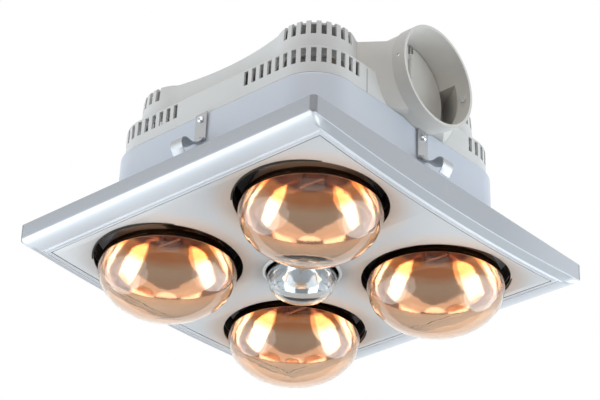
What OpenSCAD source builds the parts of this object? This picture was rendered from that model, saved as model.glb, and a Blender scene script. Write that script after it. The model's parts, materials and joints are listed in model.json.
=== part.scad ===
// Ceiling unit with four infrared reflector lamps, a centre light and a ducted exhaust fan.
// Origin: middle of the ceiling plane. +Z points up into the ceiling, +X towards the duct.

/* [Fascia] */
// Width of the fascia, along X
fascia_w = 352; // [344:1:372]
// Length of the fascia, along Y
fascia_l = 372; // [366:1:390]
// Height of the rim at the corners
rim_h = 13; // [11:0.5:15]
// Wall of the fascia frame
frame_wall = 2.5; // [2:0.1:3.5]
// Side of the square opening that holds the panel
opening = 320; // [312:1:324]
// Width of the flat lip round the opening
lip_w = 6; // [4:0.5:8]
// Depth of the crown below the ceiling, at the middle
crown_depth = 28; // [25:0.5:31]
// Rise of the crown from the middle to the lip's edge
crown_rise = 7; // [4:0.5:8]
// Rise of the bevel along the two duct-side edges
bevel_rise = 4; // [2:0.5:5]
// Thickness of the panel sheet
panel_t = 1.2; // [0.8:0.1:2]
// Running gap round the panel
panel_gap = 0.6; // [0.4:0.1:0.8]
// Height of the panel's turned-up edge
panel_edge = 8; // [5:0.5:11]

/* [Lamps] */
// Distance between neighbouring lamp axes
lamp_pitch = 171; // [166:1:176]
// Diameter of a heat lamp
lamp_d = 125; // [115:1:126]
// Level of the lamp's widest circle below the ceiling
lamp_drop = 34; // [31:0.5:38]
// Depth of the lamp's front dome
lamp_dome = 43; // [34:0.5:48]
// Diameter of the holes in the panel
lamp_hole_d = 135; // [133:0.5:137]
// Diameter of the glass neck
neck_d = 38; // [34:1:42]
// Wall of the glass
glass_t = 1.2; // [0.8:0.1:1.6]
// Diameter of the screw cap
cap_d = 26.4; // [25:0.1:28]
// Length of the screw cap
cap_l = 26; // [22:0.5:28]
// Level of the screw cap's lower edge above the ceiling
cap_z = 71; // [66:0.5:76]
// Diameter of the centre light
light_d = 63; // [58:1:64]
// Level of the centre light's widest circle below the ceiling
light_drop = 33; // [30:0.5:36]
// Depth of the centre light's front dome
light_dome = 23; // [16:0.5:26]
// Level of the centre light's screw cap above the ceiling
light_cap_z = 22; // [18:0.5:24]

/* [Housing] */
// Step from the lower housing's wall in to the first tier's wall
tier_step = 4.2; // [3.2:0.1:8]
// Height of the lower housing above the ceiling
skirt_h = 78; // [74:1:84]
// Corner radius of the lower housing
skirt_r = 43; // [38:1:48]
// Sheet thickness of the lower housing and its flange
sheet_t = 1.5; // [1:0.1:1.8]
// Distance from the fascia's edge in to the flange's edge
flange_inset = 10; // [8:0.5:12]
// Depth of the flange's turned-down edge
flange_turn = 9; // [7:0.5:10]
// Half width of the first tier
tier_half = 130.3; // [129:0.1:131]
// Height of the first tier's shoulder above the ceiling
tier_h = 108; // [106:1:112]
// Corner radius of the first tier
tier_r = 40; // [36:1:44]
// Wall of the upper housing
shell_t = 2; // [1.6:0.1:2.6]
// Lean of the first tier's inner wall
tier_lean = 0.4; // [0.2:0.1:0.8]
// Distance of the housing screws from the middle of a wall
screw_side = 70; // [62:1:76]
// Distance of the housing screws in from the first tier's wall
screw_in = 6; // [5:0.5:8]
// Height of the four towers above the ceiling
tower_h = 144; // [142:1:150]
// Radius of a tower at its top
tower_r = 36; // [34:0.5:37]
// Flare of a tower down to the first tier
tower_flare = 2.5; // [0:0.5:4]
// How far the towers' axes stand in from the lamp axes
tower_in = 2; // [0:0.5:4]
// Hollow of each side wall between two towers
side_hollow = 10.5; // [8:0.5:12]
// Height of the roof between the towers
roof_z = 140; // [138:0.5:141]

/* [Vents] */
// Width of a vent slot
slot_w = 4.8; // [3:0.1:6]
// Distance between neighbouring slots
slot_pitch = 9.2; // [8.4:0.1:10]
// Height of a slot in the first tier
slot_h = 15; // [10:0.5:15.5]
// Level of the first tier's slots
slot_z = 90; // [86:0.5:90]
// Slots on each side of a corner's middle
slots_side = 9; // [5:1:9]
// Slots on the side of a corner that faces the duct
slots_duct = 5; // [3:1:5]
// Slots round the top of a tower
tower_slots = 8; // [4:1:8]

/* [Duct] */
// Outer radius of the duct spigot's lip
spigot_r = 48.9; // [46:0.1:50]
// Wall of the spigot
spigot_t = 1.8; // [1.4:0.1:2.4]
// Level of the duct axis above the ceiling
duct_z = 120.5; // [119:0.5:122]
// Reach of the spigot's mouth from the middle of the unit
spigot_reach = 156.5; // [152:0.5:175]
// Length of the spigot's lip
spigot_lip = 14; // [10:0.5:16]
// Half width of the spigot's foot
foot_half = 71; // [68:0.5:73]
// Thickness of the back-draught flap
flap_t = 1.6; // [1.2:0.1:2.4]
// Gap round the back-draught flap
flap_gap = 1.2; // [0.8:0.1:2]
// Radius of the flap's pin
flap_pin_r = 1.5; // [1.2:0.1:2]

/* [Fan] */
// Outer radius of the fan wheel
wheel_r = 60; // [54:0.5:62]
// Height of the fan wheel
wheel_h = 44; // [36:0.5:46]
// Number of blades on the fan wheel
blade_n = 28; // [18:1:32]
// Radial depth of a blade
blade_d = 11; // [8:0.5:12]
// Thickness of a blade
blade_t = 1.2; // [0.8:0.1:1.6]
// Thickness of the wheel's plates and cup
wheel_t = 1.6; // [1.2:0.1:2]
// Radius of the motor body
motor_r = 33; // [28:0.5:34]
// Height of the motor body
motor_h = 26; // [22:0.5:30]
// Radius of the motor shaft
shaft_r = 3; // [2.5:0.1:4]
// Wall of the fan scroll
scroll_t = 1.6; // [1.2:0.1:2.2]
// Gap from the wheel to the scroll at its tongue
tongue_gap = 7; // [5:0.5:9]
// Growth of the scroll's radius in each quarter turn
scroll_step = 5.2; // [3:0.1:5.5]

/* [Clips] */
// Width of a ceiling clip
clip_w = 13.5; // [10:0.5:18]
// Height of the clip's fixing plate
clip_plate_h = 29; // [24:1:29]
// Level of the lower edge of the fixing plate
clip_z = 48; // [46:0.5:49]
// Reach of the clip arm from the housing wall
clip_reach = 30; // [24:1:32]
// Level of the lower edge of the clip's lip
clip_lip_z = 22; // [20:0.5:26]
// Height of the clip's lip
clip_lip_h = 12; // [8:0.5:13]
// Sheet thickness of a clip
clip_t = 1; // [0.8:0.1:1.5]
// How much lower the clip under the duct stands
duct_clip_drop = 5; // [4.5:0.5:8]
// Distance of a clip from the middle of its wall
clip_shift = 4; // [0:0.5:8]

/* [Cable entry] */
// Radius of the hole in the cable gland
gland_bore_r = 5; // [3.5:0.1:6]
// Outer radius of the gland's tube
gland_r = 9; // [7.5:0.1:10]
// Length of the gland outside the wall
gland_l = 16; // [12:1:22]

/* [Hidden] */
$fn = 96;

// Gap between pieces that seat on each other without touching
seat = 0.3;
// Overlap that joins two forms of one piece
weld = 0.5;
// Length that cuts right through the unit
through = fascia_w + fascia_l;
skirt_half = tier_half + tier_step;
lamp_c = lamp_pitch / 2;
tower_c = lamp_c - tower_in;
lip_half = opening / 2 + lip_w;
crown_r = (lip_half * lip_half + crown_rise * crown_rise) / (2 * crown_rise);
bevel_angle = atan2(bevel_rise, fascia_w / 2 - lip_half);
flange_x = fascia_w / 2 - flange_inset;
flange_y = fascia_l / 2 - flange_inset;
tray_z = skirt_h;
tray_t = 1.2;
shield_t = 1;
shield_z = -sheet_t - shield_t;
shield_half = min(flange_x, lamp_c + lamp_hole_d / 2 + 4);
shield_hole_r = lamp_hole_d / 2 - 1.5;
shield_collar = 14;
tower_mid = tower_c + tower_r - side_hollow;
flare_back = tier_half - 26;
flare_r = foot_half + 4;
tube_back = tier_half - 15;
hump_back = tube_back - 24;
exit_x = flare_back - 0.8;
duct_bore_r = spigot_r - spigot_t - 1;
flap_x = tube_back + 8;
wheel_z = tray_z + 8;
motor_z = roof_z - shell_t - motor_h - 3;
clip_wall = skirt_half + 0.1;
hinge_z = clip_z - 0.2;
pin_r = 1.2;
curl_r = 2.2;
pin_x = clip_t + 1.6;
holder_r = 20;
holder_l = 36;
holder_z = cap_z + 5.5;
light_holder_z = light_cap_z + 5.5;
light_holder_r = 17;
light_holder_l = 34;

function arc(cx, cy, r, a0, a1, n) =
    [for (i = [0:n]) [cx + r * cos(a0 + (a1 - a0) * i / n), cy + r * sin(a0 + (a1 - a0) * i / n)]];
function ellipse_arc(cx, cy, rx, ry, a0, a1, n) =
    [for (i = [0:n]) [cx + rx * cos(a0 + (a1 - a0) * i / n), cy + ry * sin(a0 + (a1 - a0) * i / n)]];
function flip(points) = [for (i = [len(points) - 1:-1:0]) [-points[i][0], points[i][1]]];
function reverse(points) = [for (i = [len(points) - 1:-1:0]) points[i]];
// Level of the crowned underside at a distance y from the middle
function crown(y) = crown_r - crown_depth - sqrt(crown_r * crown_r - y * y);

module on_corners(c) {
    for (sx = [-1, 1], sy = [-1, 1]) translate([sx * c, sy * c, 0]) children();
}

module rounded_rect(hx, hy, r) {
    union() {
        square([2 * hx, 2 * (hy - r)], center = true);
        square([2 * (hx - r), 2 * hy], center = true);
        for (sx = [-1, 1], sy = [-1, 1]) translate([sx * (hx - r), sy * (hy - r)]) circle(r);
    }
}

// Carries a profile, drawn from the corner's axis outwards, round a square with round corners
module square_sweep(half, r) {
    for (k = [0:3]) rotate(90 * k) translate([half - r, half - r, 0]) {
        rotate_extrude(angle = 90) children();
        rotate([90, 0, 0]) linear_extrude(2 * (half - r)) children();
    }
}

module along_x(length) {
    rotate([90, 0, 90]) translate([0, 0, -length / 2]) linear_extrude(length) children();
}

// Fascia

// Section of the fascia across Y: straight rim, rounded nose and crowned underside
module fascia_section(inset, top) {
    nose = ellipse_arc(lip_half, -rim_h + inset, fascia_l / 2 - lip_half - inset,
        crown_depth - crown_rise - rim_h, 0, -90, 8);
    under = [for (i = [1:9]) [lip_half * (1 - i / 10), crown(lip_half * (1 - i / 10)) + inset]];
    half = concat([[fascia_l / 2 - inset, top]], nose, under);
    polygon(concat(half, [[0, -crown_depth + inset]], flip(half)));
}

module tilted_fascia_block(inset, side) {
    translate([side * lip_half, 0, -crown_depth]) rotate([0, -side * bevel_angle, 0])
        translate([-side * lip_half, 0, crown_depth])
            along_x(2 * fascia_w) fascia_section(inset, 12 * crown_depth);
}

module fascia_block(inset, top) {
    intersection() {
        along_x(fascia_w - 2 * inset) fascia_section(inset, top);
        tilted_fascia_block(inset, 1);
        tilted_fascia_block(inset, -1);
    }
}

module fascia_frame() color([0.86, 0.87, 0.89]) {
    rebate = 1;
    difference() {
        fascia_block(0, 0);
        fascia_block(frame_wall, 1);
        cube([opening, opening, 3 * crown_depth], center = true);
        intersection() {
            cube([2 * lip_half, 2 * lip_half, 3 * crown_depth], center = true);
            along_x(fascia_w) polygon(concat(
                [for (i = [-10:10]) [lip_half * i / 10, crown(lip_half * i / 10) + rebate]],
                [[lip_half, -2 * crown_depth], [-lip_half, -2 * crown_depth]]));
        }
    }
}

// Crowned sheet between two half widths along Y
module crown_sheet(half_y, lift, t) {
    steps = 16;
    low = [for (i = [-steps:steps]) [half_y * i / steps, crown(half_y * i / steps) + lift]];
    polygon(concat(low, reverse([for (p = low) [p[0], p[1] + t]])));
}

module fascia_panel() color([0.78, 0.79, 0.80]) {
    half = opening / 2 - panel_gap;
    ring_w = 2;
    difference() {
        union() {
            along_x(2 * half) crown_sheet(half, 0, panel_t);
            intersection() {
                difference() {
                    cube([2 * half, 2 * half, 4 * crown_depth], center = true);
                    cube([2 * (half - panel_t), 2 * (half - panel_t), 5 * crown_depth], center = true);
                }
                along_x(2 * half) crown_sheet(half, 0, panel_edge);
            }
            on_corners(lamp_c) translate([0, 0, -crown_depth - 0.6])
                cylinder(r = lamp_hole_d / 2 + ring_w, h = crown_rise + 4);
        }
        on_corners(lamp_c) cylinder(d = lamp_hole_d, h = 4 * crown_depth, center = true);
        cylinder(r = light_d / 2 + 2, h = 4 * crown_depth, center = true);
    }
}

module light_ring() color([0.9, 0.9, 0.9]) {
    bore = light_d / 2 + 1.4;
    translate([0, 0, -crown_depth - 1.8]) rotate_extrude()
        polygon([[bore, 0.6], [bore + 0.8, 0], [bore + 3.2, 0.9], [bore + 3.2, 1.5],
            [bore + 0.5, 1.5], [bore + 0.5, 5], [bore, 5]]);
}

// Spring leaves on the frame's inner walls that grip the flange's turned-down edge
module fascia_catches() color([0.75, 0.76, 0.78]) {
    leaf = 0.8;
    for (k = [0:3]) {
        wall = (k % 2 == 0 ? fascia_w : fascia_l) / 2 - frame_wall - seat;
        grip = (k % 2 == 0 ? flange_x : flange_y) + seat;
        rotate(90 * k) translate([0, 12, 0]) rotate([90, 0, 0]) linear_extrude(24)
            polygon([[wall, -2], [wall, -rim_h + 2], [grip + leaf + 1, -rim_h + 3],
                [grip, -rim_h + 6], [grip, -3.5], [grip + 1.2, -2.5], [grip + 1.2 + leaf, -3.2],
                [grip + leaf, -4], [grip + leaf, -rim_h + 6], [grip + 2 * leaf + 1, -rim_h + 4],
                [wall - leaf, -rim_h + 2 + leaf], [wall - leaf, -2]]);
    }
}

// Lower housing

module lower_housing() color([0.74, 0.77, 0.81]) {
    draft = 1.2;
    shoulder = 3;
    ledge = 14;
    top = skirt_r - draft;
    hole_x = flange_x - 6;
    hole_y = flange_y - 8;
    difference() {
        union() {
            square_sweep(skirt_half, skirt_r) polygon(concat([[skirt_r, -sheet_t]],
                arc(top - shoulder, skirt_h - shoulder, shoulder, 0, 90, 5),
                [[skirt_r - ledge, skirt_h], [skirt_r - ledge, skirt_h - sheet_t],
                [top - shoulder, skirt_h - sheet_t],
                [top - sheet_t, skirt_h - shoulder], [skirt_r - sheet_t, -sheet_t]]));
            translate([0, 0, -sheet_t]) linear_extrude(sheet_t) difference() {
                rounded_rect(flange_x, flange_y, 8);
                rounded_rect(skirt_half - weld, skirt_half - weld, skirt_r - weld);
            }
            translate([0, 0, -flange_turn]) linear_extrude(flange_turn) difference() {
                rounded_rect(flange_x, flange_y, 8);
                rounded_rect(flange_x - sheet_t, flange_y - sheet_t, 8 - sheet_t);
            }
        }
        for (sx = [-1, 1], sy = [-1, 1]) translate([sx * hole_x, sy * hole_y, 0])
            cylinder(r = 2.5, h = 30, center = true);
        housing_screw_places() cylinder(r = 1.8, h = 20, center = true);
        duct_bar(tube_back - 1, through, spigot_r - 0.7, spigot_r - 0.7);
    }
}

// The screws that join upper housing, tray and lower housing, two to a wall
module housing_screw_places() {
    for (k = [0:3], s = [-1, 1]) rotate(90 * k) translate([tier_half - screw_in, s * screw_side, skirt_h]) children();
}

module housing_screws() color([0.6, 0.61, 0.63]) {
    under = sheet_t + 0.1;
    housing_screw_places() {
        translate([0, 0, -under]) cylinder(r = 1.6, h = under + tray_t + 6);
        translate([0, 0, -under - 2]) cylinder(r = 3.2, h = 2);
    }
}

// Upper housing

// Outline of the second tier: four round towers joined by hollow side walls
module clover(r, inset) {
    steps = 9;
    ease = 0.5;
    reach = tower_mid - tower_c;
    hollow_r = (reach * reach + tower_c * tower_c - tower_r * tower_r) / (2 * (tower_r - reach));
    sweep = asin(tower_c / (hollow_r + tower_r));
    centre_x = tower_mid + hollow_r - ease;
    wall = [for (i = [-steps:steps]) let (a = sweep * i / steps)
        [centre_x - (hollow_r + inset) * cos(a), (hollow_r + inset) * sin(a)]];
    union() {
        for (sx = [-1, 1], sy = [-1, 1]) translate([sx * tower_c, sy * tower_c]) circle(r - inset);
        polygon([for (k = [0:3], p = wall)
            [p[0] * cos(90 * k) - p[1] * sin(90 * k), p[0] * sin(90 * k) + p[1] * cos(90 * k)]]);
    }
}

module tower_form(inset, top) {
    round = 3.5;
    low = tier_h - 2 * shell_t;
    translate([0, 0, 0]) rotate_extrude() polygon(concat([[0, low], [tower_r + tower_flare - inset, low]],
        arc(tower_r - inset - round, top - round, round, 0, 90, 5), [[0, top]]));
}

module vent_cut(length) {
    translate([0, -slot_w / 2, 0]) cube([length, slot_w, slot_h]);
}

// Slots of the first tier, spaced along the wall from each corner's middle
module tier_vents() {
    turn = tier_r * PI / 4;
    for (k = [0:3], s = [-1, 1]) {
        faces_duct = (k == 0 && s == -1) || (k == 3 && s == 1);
        count = faces_duct ? slots_duct : slots_side;
        for (i = [0:count - 1]) {
            run = slot_pitch * (i + 0.5);
            past = max(0, run - turn);
            angle = s * min(run, turn) / tier_r * 180 / PI;
            rotate(90 * k) translate([tier_half - tier_r, tier_half - tier_r, slot_z])
                rotate(45 + angle) translate([tier_r - 5, -s * -past, 0]) vent_cut(10);
        }
    }
}

module tower_vents() {
    step = slot_pitch / tower_r * 180 / PI;
    for (k = [0:3], i = [0:tower_slots - 1]) rotate(90 * k) translate([tower_c, tower_c, tower_h - slot_h - 1])
        rotate(45 + step * (i - (tower_slots - 1) / 2)) translate([tower_r - 5.5, -slot_w / 2, 0])
            cube([14, slot_w, slot_h + 6]);
}

module slice_x(x, t) {
    translate([x, 0, 0]) rotate([90, 0, 90]) linear_extrude(t) children();
}

// Round bar along the duct axis, from one radius to another
module duct_bar(x0, x1, r0, r1) {
    translate([x0, 0, duct_z]) rotate([0, 90, 0]) cylinder(r1 = r0, r2 = r1, h = x1 - x0);
}

module level_band(low, high) {
    translate([0, -through / 2, low]) cube([through, through, high - low]);
}

// Outside of the duct adaptor: flat-sided flare, round tube and the hump over the roof
module adaptor_form(grow) {
    r = spigot_r - 1.2 + grow;
    intersection() {
        duct_bar(flare_back - grow, spigot_reach - spigot_lip, flare_r + grow, r + 1.2);
        level_band(skirt_h + seat - grow, roof_z + seat + grow);
    }
    duct_bar(tube_back - grow, spigot_reach - 1, r, r);
    intersection() {
        duct_bar(hump_back, tube_back - grow + 0.01, 30 + grow, r);
        level_band(roof_z - shell_t - 1, 200);
    }
}

module upper_housing() color([0.85, 0.85, 0.84]) {
    shoulder = 2.6;
    difference() {
        union() {
            square_sweep(tier_half, tier_r) polygon(concat([[tier_r, skirt_h + tray_t + 0.1]],
                arc(tier_r - shoulder - tier_lean, tier_h - shoulder, shoulder, 0, 90, 4),
                [[tier_r - 7, tier_h], [tier_r - 7, tier_h - shell_t],
                [tier_r - shoulder - 0.8, tier_h - shell_t],
                [tier_r - shell_t - tier_lean, tier_h - shoulder - 0.23], [tier_r - shell_t, skirt_h + tray_t + 0.1]]));
            translate([0, 0, tier_h - shell_t]) linear_extrude(shell_t) difference() {
                rounded_rect(tier_half - 5, tier_half - 5, tier_r - 5);
                clover(tower_r, shell_t);
            }
            difference() {
                union() {
                    translate([0, 0, tier_h - weld]) linear_extrude(roof_z - tier_h + weld) clover(tower_r, 0);
                    on_corners(tower_c) tower_form(0, tower_h);
                }
                translate([0, 0, tier_h - 10]) linear_extrude(roof_z - shell_t - tier_h + 10)
                    clover(tower_r, shell_t);
                on_corners(tower_c) tower_form(shell_t, tower_h - shell_t);
                on_corners(tower_c) translate([0, 0, tier_h - 20])
                    cylinder(r = tower_r + tower_flare - shell_t, h = 19);
            }
            housing_bosses();
        }
        tier_vents();
        tower_vents();
        adaptor_form(seat);
        duct_bar(hump_back + shell_t, tube_back + 0.01, 29 - shell_t, duct_bore_r);
        translate([-tier_half - 5, 0, skirt_h + 14]) rotate([0, 90, 0]) cylinder(r = gland_thread_r + 0.2, h = 12);
    }
}

// Bosses inside the first tier's wall for the housing screws
module housing_bosses() {
    housing_screw_places() translate([0, 0, tray_t + 0.1]) difference() {
        translate([-4, -4, 0]) cube([4 + screw_in - shell_t + weld, 8, 9]);
        translate([0, 0, -1]) cylinder(r = 1.7, h = 8);
    }
}

// Inner deck

module heat_shield() color([0.08, 0.08, 0.09]) {
    difference() {
        union() {
            translate([0, 0, shield_z]) linear_extrude(shield_t)
                rounded_rect(shield_half, shield_half, 20);
            on_corners(lamp_c) translate([0, 0, shield_z - shield_collar])
                cylinder(r = shield_hole_r + shield_t, h = shield_collar + shield_t);
        }
        on_corners(lamp_c) cylinder(r = shield_hole_r, h = 100, center = true);
        cylinder(r = light_d / 2 + 5, h = 100, center = true);
    }
}

module lamp_tray() color([0.66, 0.67, 0.69]) {
    half = tier_half - shell_t + 1;
    translate([0, 0, tray_z]) difference() {
        linear_extrude(tray_t) rounded_rect(half, half, tier_r - 1);
        on_corners(lamp_c) cylinder(r = holder_r + 1, h = 10, center = true);
        cylinder(r = wheel_r - blade_d, h = 10, center = true);
        translate([0, 0, -tray_z]) adaptor_form(seat);
        translate([0, 0, -tray_z]) housing_screw_places() cylinder(r = 1.8, h = 20, center = true);
        for (a = [0:120:240]) rotate(a + 60) translate([wheel_r - blade_d + 6, 0, 0])
            cylinder(r = 1.6, h = 10, center = true);
    }
}

module lamp_holder(i) color([0.93, 0.92, 0.88]) {
    s = corner_sign(i);
    seat_z = tray_z + tray_t;
    translate([s[0] * lamp_c, s[1] * lamp_c, 0]) difference() {
        union() {
            translate([0, 0, holder_z]) cylinder(r = holder_r, h = holder_l);
            translate([0, 0, seat_z]) cylinder(r = holder_r + 3, h = 4);
            translate([0, 0, holder_z + holder_l - weld]) cylinder(r1 = holder_r, r2 = holder_r - 6, h = 6);
        }
        translate([0, 0, holder_z - 1]) cylinder(d = cap_d + 2 * seat, h = cap_l + 3);
    }
}

function corner_sign(i) = [[1, -1], [-1, -1], [1, 1], [-1, 1]][i - 1];

module light_holder() color([0.93, 0.92, 0.88]) {
    z = light_holder_z;
    difference() {
        union() {
            translate([0, 0, z]) cylinder(r = light_holder_r, h = light_holder_l);
            translate([0, 0, z + light_holder_l - weld])
                cylinder(r1 = light_holder_r, r2 = light_holder_r - 4, h = 4);
        }
        translate([0, 0, z - 1]) cylinder(d = cap_d + 2 * seat, h = cap_l + 3);
    }
}

// Strap that hangs the centre light's holder under the tray
module light_bracket() color([0.66, 0.67, 0.69]) {
    low = light_holder_z + light_holder_l + 3.5;
    r = wheel_r - blade_d + 6;
    t = 1.2;
    for (a = [0:120:240]) rotate(a + 60) {
        translate([10, -5, low]) cube([r - 10, 10, t]);
        translate([r - t, -5, low]) cube([t, 10, tray_z - low]);
        translate([r - t, -5, tray_z - t]) cube([12, 10, t]);
    }
    translate([0, 0, low]) cylinder(r = 14, h = t);
}

// Fan

// Spiral outline of the scroll: four quarter arcs, each larger than the last, then the outlet
module scroll_outline(inset) {
    r0 = wheel_r + tongue_gap;
    last = r0 + 3 * scroll_step + 0.6 - inset;
    union() {
        for (q = [0:2]) rotate(90 * q) intersection() {
            circle(r0 + scroll_step * (q + 1) - inset);
            translate([-weld, -weld]) square([200, 200]);
        }
        polygon([[-weld, -last], [16, -last], [exit_x, -54 + inset], [exit_x, 46 - inset], [46, 46 - inset],
            [-weld, 10]]);
    }
}

module fan_scroll() color([0.80, 0.81, 0.80]) {
    base = tray_z + tray_t + 0.1;
    top = roof_z - shell_t - seat;
    eye = wheel_r - blade_d;
    translate([0, 0, base]) difference() {
        linear_extrude(top - base) scroll_outline(0);
        translate([0, 0, scroll_t]) linear_extrude(top - base) scroll_outline(scroll_t);
        translate([exit_x - 5, -54 + 1.3 * scroll_t, scroll_t])
            cube([60, 100 - 2.3 * scroll_t, 100]);
        cylinder(r = eye, h = 10, center = true);
    }
    translate([0, 0, base]) rotate_extrude()
        polygon(concat([[eye - 2, 0]], [[eye - 2, 3.4], [eye - 1.2, 4.6], [eye + 0.4, 5], [eye + 0.4, 0]]));
}

module fan_wheel() color([0.87, 0.87, 0.85]) {
    cup_r = motor_r + 3;
    cup_z = motor_z - wheel_z - 4;
    inner = wheel_r - blade_d;
    translate([0, 0, wheel_z]) {
        rotate_extrude() polygon([[wheel_r, wheel_h - wheel_t], [wheel_r, wheel_h], [cup_r, wheel_h],
            [cup_r, cup_z], [shaft_r + 4, cup_z], [shaft_r + 4, cup_z + 1], [shaft_r + 0.02, cup_z + 1],
            [shaft_r + 0.02, cup_z - 7], [shaft_r + 4, cup_z - 7], [shaft_r + 4, cup_z - wheel_t],
            [cup_r + wheel_t, cup_z - wheel_t], [cup_r + wheel_t, wheel_h - wheel_t]]);
        rotate_extrude() polygon([[inner + 2, 0], [wheel_r, 0], [wheel_r, wheel_t], [inner + 2, wheel_t]]);
        for (i = [0:blade_n - 1]) rotate(360 * i / blade_n) wheel_blade(wheel_h);
    }
}

// One forward-curved blade between the wheel's two rings
module wheel_blade(h) {
    r = 11;
    mid = wheel_r - blade_d / 2 - 0.3;
    translate([0, 0, wheel_t / 2]) linear_extrude(h - wheel_t) translate([mid, -r + 2, 0])
        polygon(concat(arc(0, 0, r + blade_t / 2, 62, 118, 5), reverse(arc(0, 0, r - blade_t / 2, 62, 118, 5))));
}

module fan_shaft() color([0.7, 0.7, 0.72]) {
    low = wheel_z + motor_z - wheel_z - 4 - 14;
    translate([0, 0, low]) cylinder(r = shaft_r, h = motor_z + motor_h - 2 - low);
}

module wheel_nut() color([0.72, 0.66, 0.42]) {
    z = motor_z - 4 - 7;
    translate([0, 0, z - 3.1]) difference() {
        cylinder(r = shaft_r + 2.6, h = 3, $fn = 6);
        translate([0, 0, -1]) cylinder(r = shaft_r, h = 6, $fn = 96);
    }
}

module motor_body() color([0.35, 0.36, 0.38]) {
    translate([0, 0, motor_z]) difference() {
        union() {
            rotate_extrude() polygon(concat([[0, 0], [motor_r - 3, 0]],
                arc(motor_r - 3, 3, 3, -90, 0, 4), arc(motor_r - 3, motor_h - 3, 3, 0, 90, 4), [[0, motor_h]]));
            translate([0, 0, -2]) cylinder(r = shaft_r + 4, h = 3);
        }
        translate([0, 0, -5]) cylinder(r = shaft_r + 0.06, h = motor_h + 3);
        for (a = [0:30:330]) rotate(a) translate([motor_r - 1.2, 0, 6]) cylinder(r = 1.6, h = motor_h - 12);
    }
}

// Plate that carries the motor under the roof
module motor_bracket() color([0.66, 0.67, 0.69]) {
    z = motor_z + motor_h + 0.1;
    top = roof_z - shell_t - 0.1;
    translate([0, 0, z]) difference() {
        union() {
            cylinder(r = motor_r + 4, h = 1.5);
            for (a = [0:90:270]) rotate(a) translate([motor_r - 2, -6, 0]) cube([14, 12, top - z]);
        }
        for (a = [0:90:270]) rotate(a) translate([motor_r + 8, 0, -1]) cylinder(r = 1.6, h = 10);
        translate([0, 0, -1]) cylinder(r = 10, h = 10);
    }
}

module run_capacitor() color([0.9, 0.9, 0.88]) {
    translate([-tower_mid + 14, -29, tray_z + tray_t + 16]) rotate([90, 0, 0])
        translate([0, 0, -22]) rotate_extrude()
            polygon(concat([[0, 0]], arc(7.5, 1.5, 1.5, -90, 0, 3), arc(7.5, 42.5, 1.5, 0, 90, 3), [[0, 44]]));
}

module capacitor_clip() color([0.66, 0.67, 0.69]) {
    x = -tower_mid + 14;
    z = tray_z + tray_t;
    translate([x, -23, z + 0.1]) rotate([90, 0, 0]) linear_extrude(12) difference() {
        union() {
            translate([0, 16]) circle(10.3);
            translate([-10, 0]) square([20, 14]);
        }
        translate([0, 16]) circle(9.3);
        translate([-9, 1]) square([18, 9]);
    }
}

module terminal_block() color([0.92, 0.92, 0.9]) {
    w = 10;
    translate([-tower_mid + 9, 5, tray_z + tray_t + 0.1]) difference() {
        union() {
            for (i = [0:3]) translate([0, w * i, 0]) {
                cube([18, w - 1, 12]);
                translate([9, w / 2 - 0.5, 12 - weld]) cylinder(r = 3.4, h = 4);
            }
            translate([2, 0, 0]) cube([14, w * 4 - 1, 3]);
        }
        for (i = [0:3]) translate([-1, w * i + w / 2 - 0.5, 6]) rotate([0, 90, 0]) cylinder(r = 1.8, h = 20);
        for (i = [0:3]) translate([9, w * i + w / 2 - 0.5, 8]) cylinder(r = 2, h = 20);
    }
}

gland_thread_r = gland_r - 2;
gland_z = skirt_h + 14;

// Gland through the wall opposite the duct
module cable_gland() color([0.2, 0.2, 0.21]) {
    wall = tier_half;
    translate([-wall, 0, gland_z]) rotate([0, -90, 0]) difference() {
        union() {
            translate([0, 0, 0.3]) cylinder(r = gland_r + 3, h = 5, $fn = 6);
            translate([0, 0, 5]) rotate_extrude() polygon([[0, 0], [gland_r, 0], [gland_r, 6],
                [gland_r - 2.5, gland_l - 5], [0, gland_l - 5]]);
            translate([0, 0, -9]) cylinder(r = gland_thread_r, h = 12);
        }
        translate([0, 0, -12]) cylinder(r = gland_bore_r, h = 40);
    }
}

module gland_nut() color([0.2, 0.2, 0.21]) {
    translate([-tier_half + shell_t + tier_lean + seat, 0, gland_z]) rotate([0, 90, 0]) difference() {
        cylinder(r = gland_r + 2, h = 4, $fn = 6);
        translate([0, 0, -1]) cylinder(r = gland_thread_r + 0.05, h = 8, $fn = 96);
    }
}

// Duct

module duct_spigot() color([0.72, 0.71, 0.69]) {
    difference() {
        union() {
            adaptor_form(0);
            duct_bar(spigot_reach - spigot_lip, spigot_reach, spigot_r, spigot_r);
        }
        intersection() {
            duct_bar(flare_back - 1, spigot_reach - spigot_lip, flare_r - shell_t, spigot_r - spigot_t - 1.5);
            level_band(skirt_h + seat + shell_t, roof_z + seat - shell_t);
        }
        intersection() {
            duct_bar(hump_back + shell_t, tube_back + 0.01, 29 - shell_t, duct_bore_r);
            level_band(roof_z - shell_t - 2, 200);
        }
        intersection() {
            duct_bar(tube_back - 1, tube_back + 4, duct_bore_r, duct_bore_r);
            level_band(skirt_h + seat + shell_t, 200);
        }
        duct_bar(tube_back + 3, through, duct_bore_r, duct_bore_r);
        translate([flap_x, 0, duct_z]) cylinder(r = flap_pin_r + 0.05, h = 2 * duct_bore_r + 1.6, center = true);
        spigot_screw_places() translate([0, 0, -6]) cylinder(r = 1.5, h = 8);
    }
}

module spigot_screw_places() {
    for (s = [-1, 1]) translate([spigot_reach - spigot_lip / 2, s * (duct_bore_r - 0.2), duct_z])
        rotate([s * 90, 0, 0]) children();
}

module spigot_screws() color([0.8, 0.81, 0.82]) {
    spigot_screw_places() {
        translate([0, 0, -2.4]) cylinder(r = 1.4, h = 3.4);
        cylinder(r = 2.6, h = 1.8);
    }
}

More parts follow.
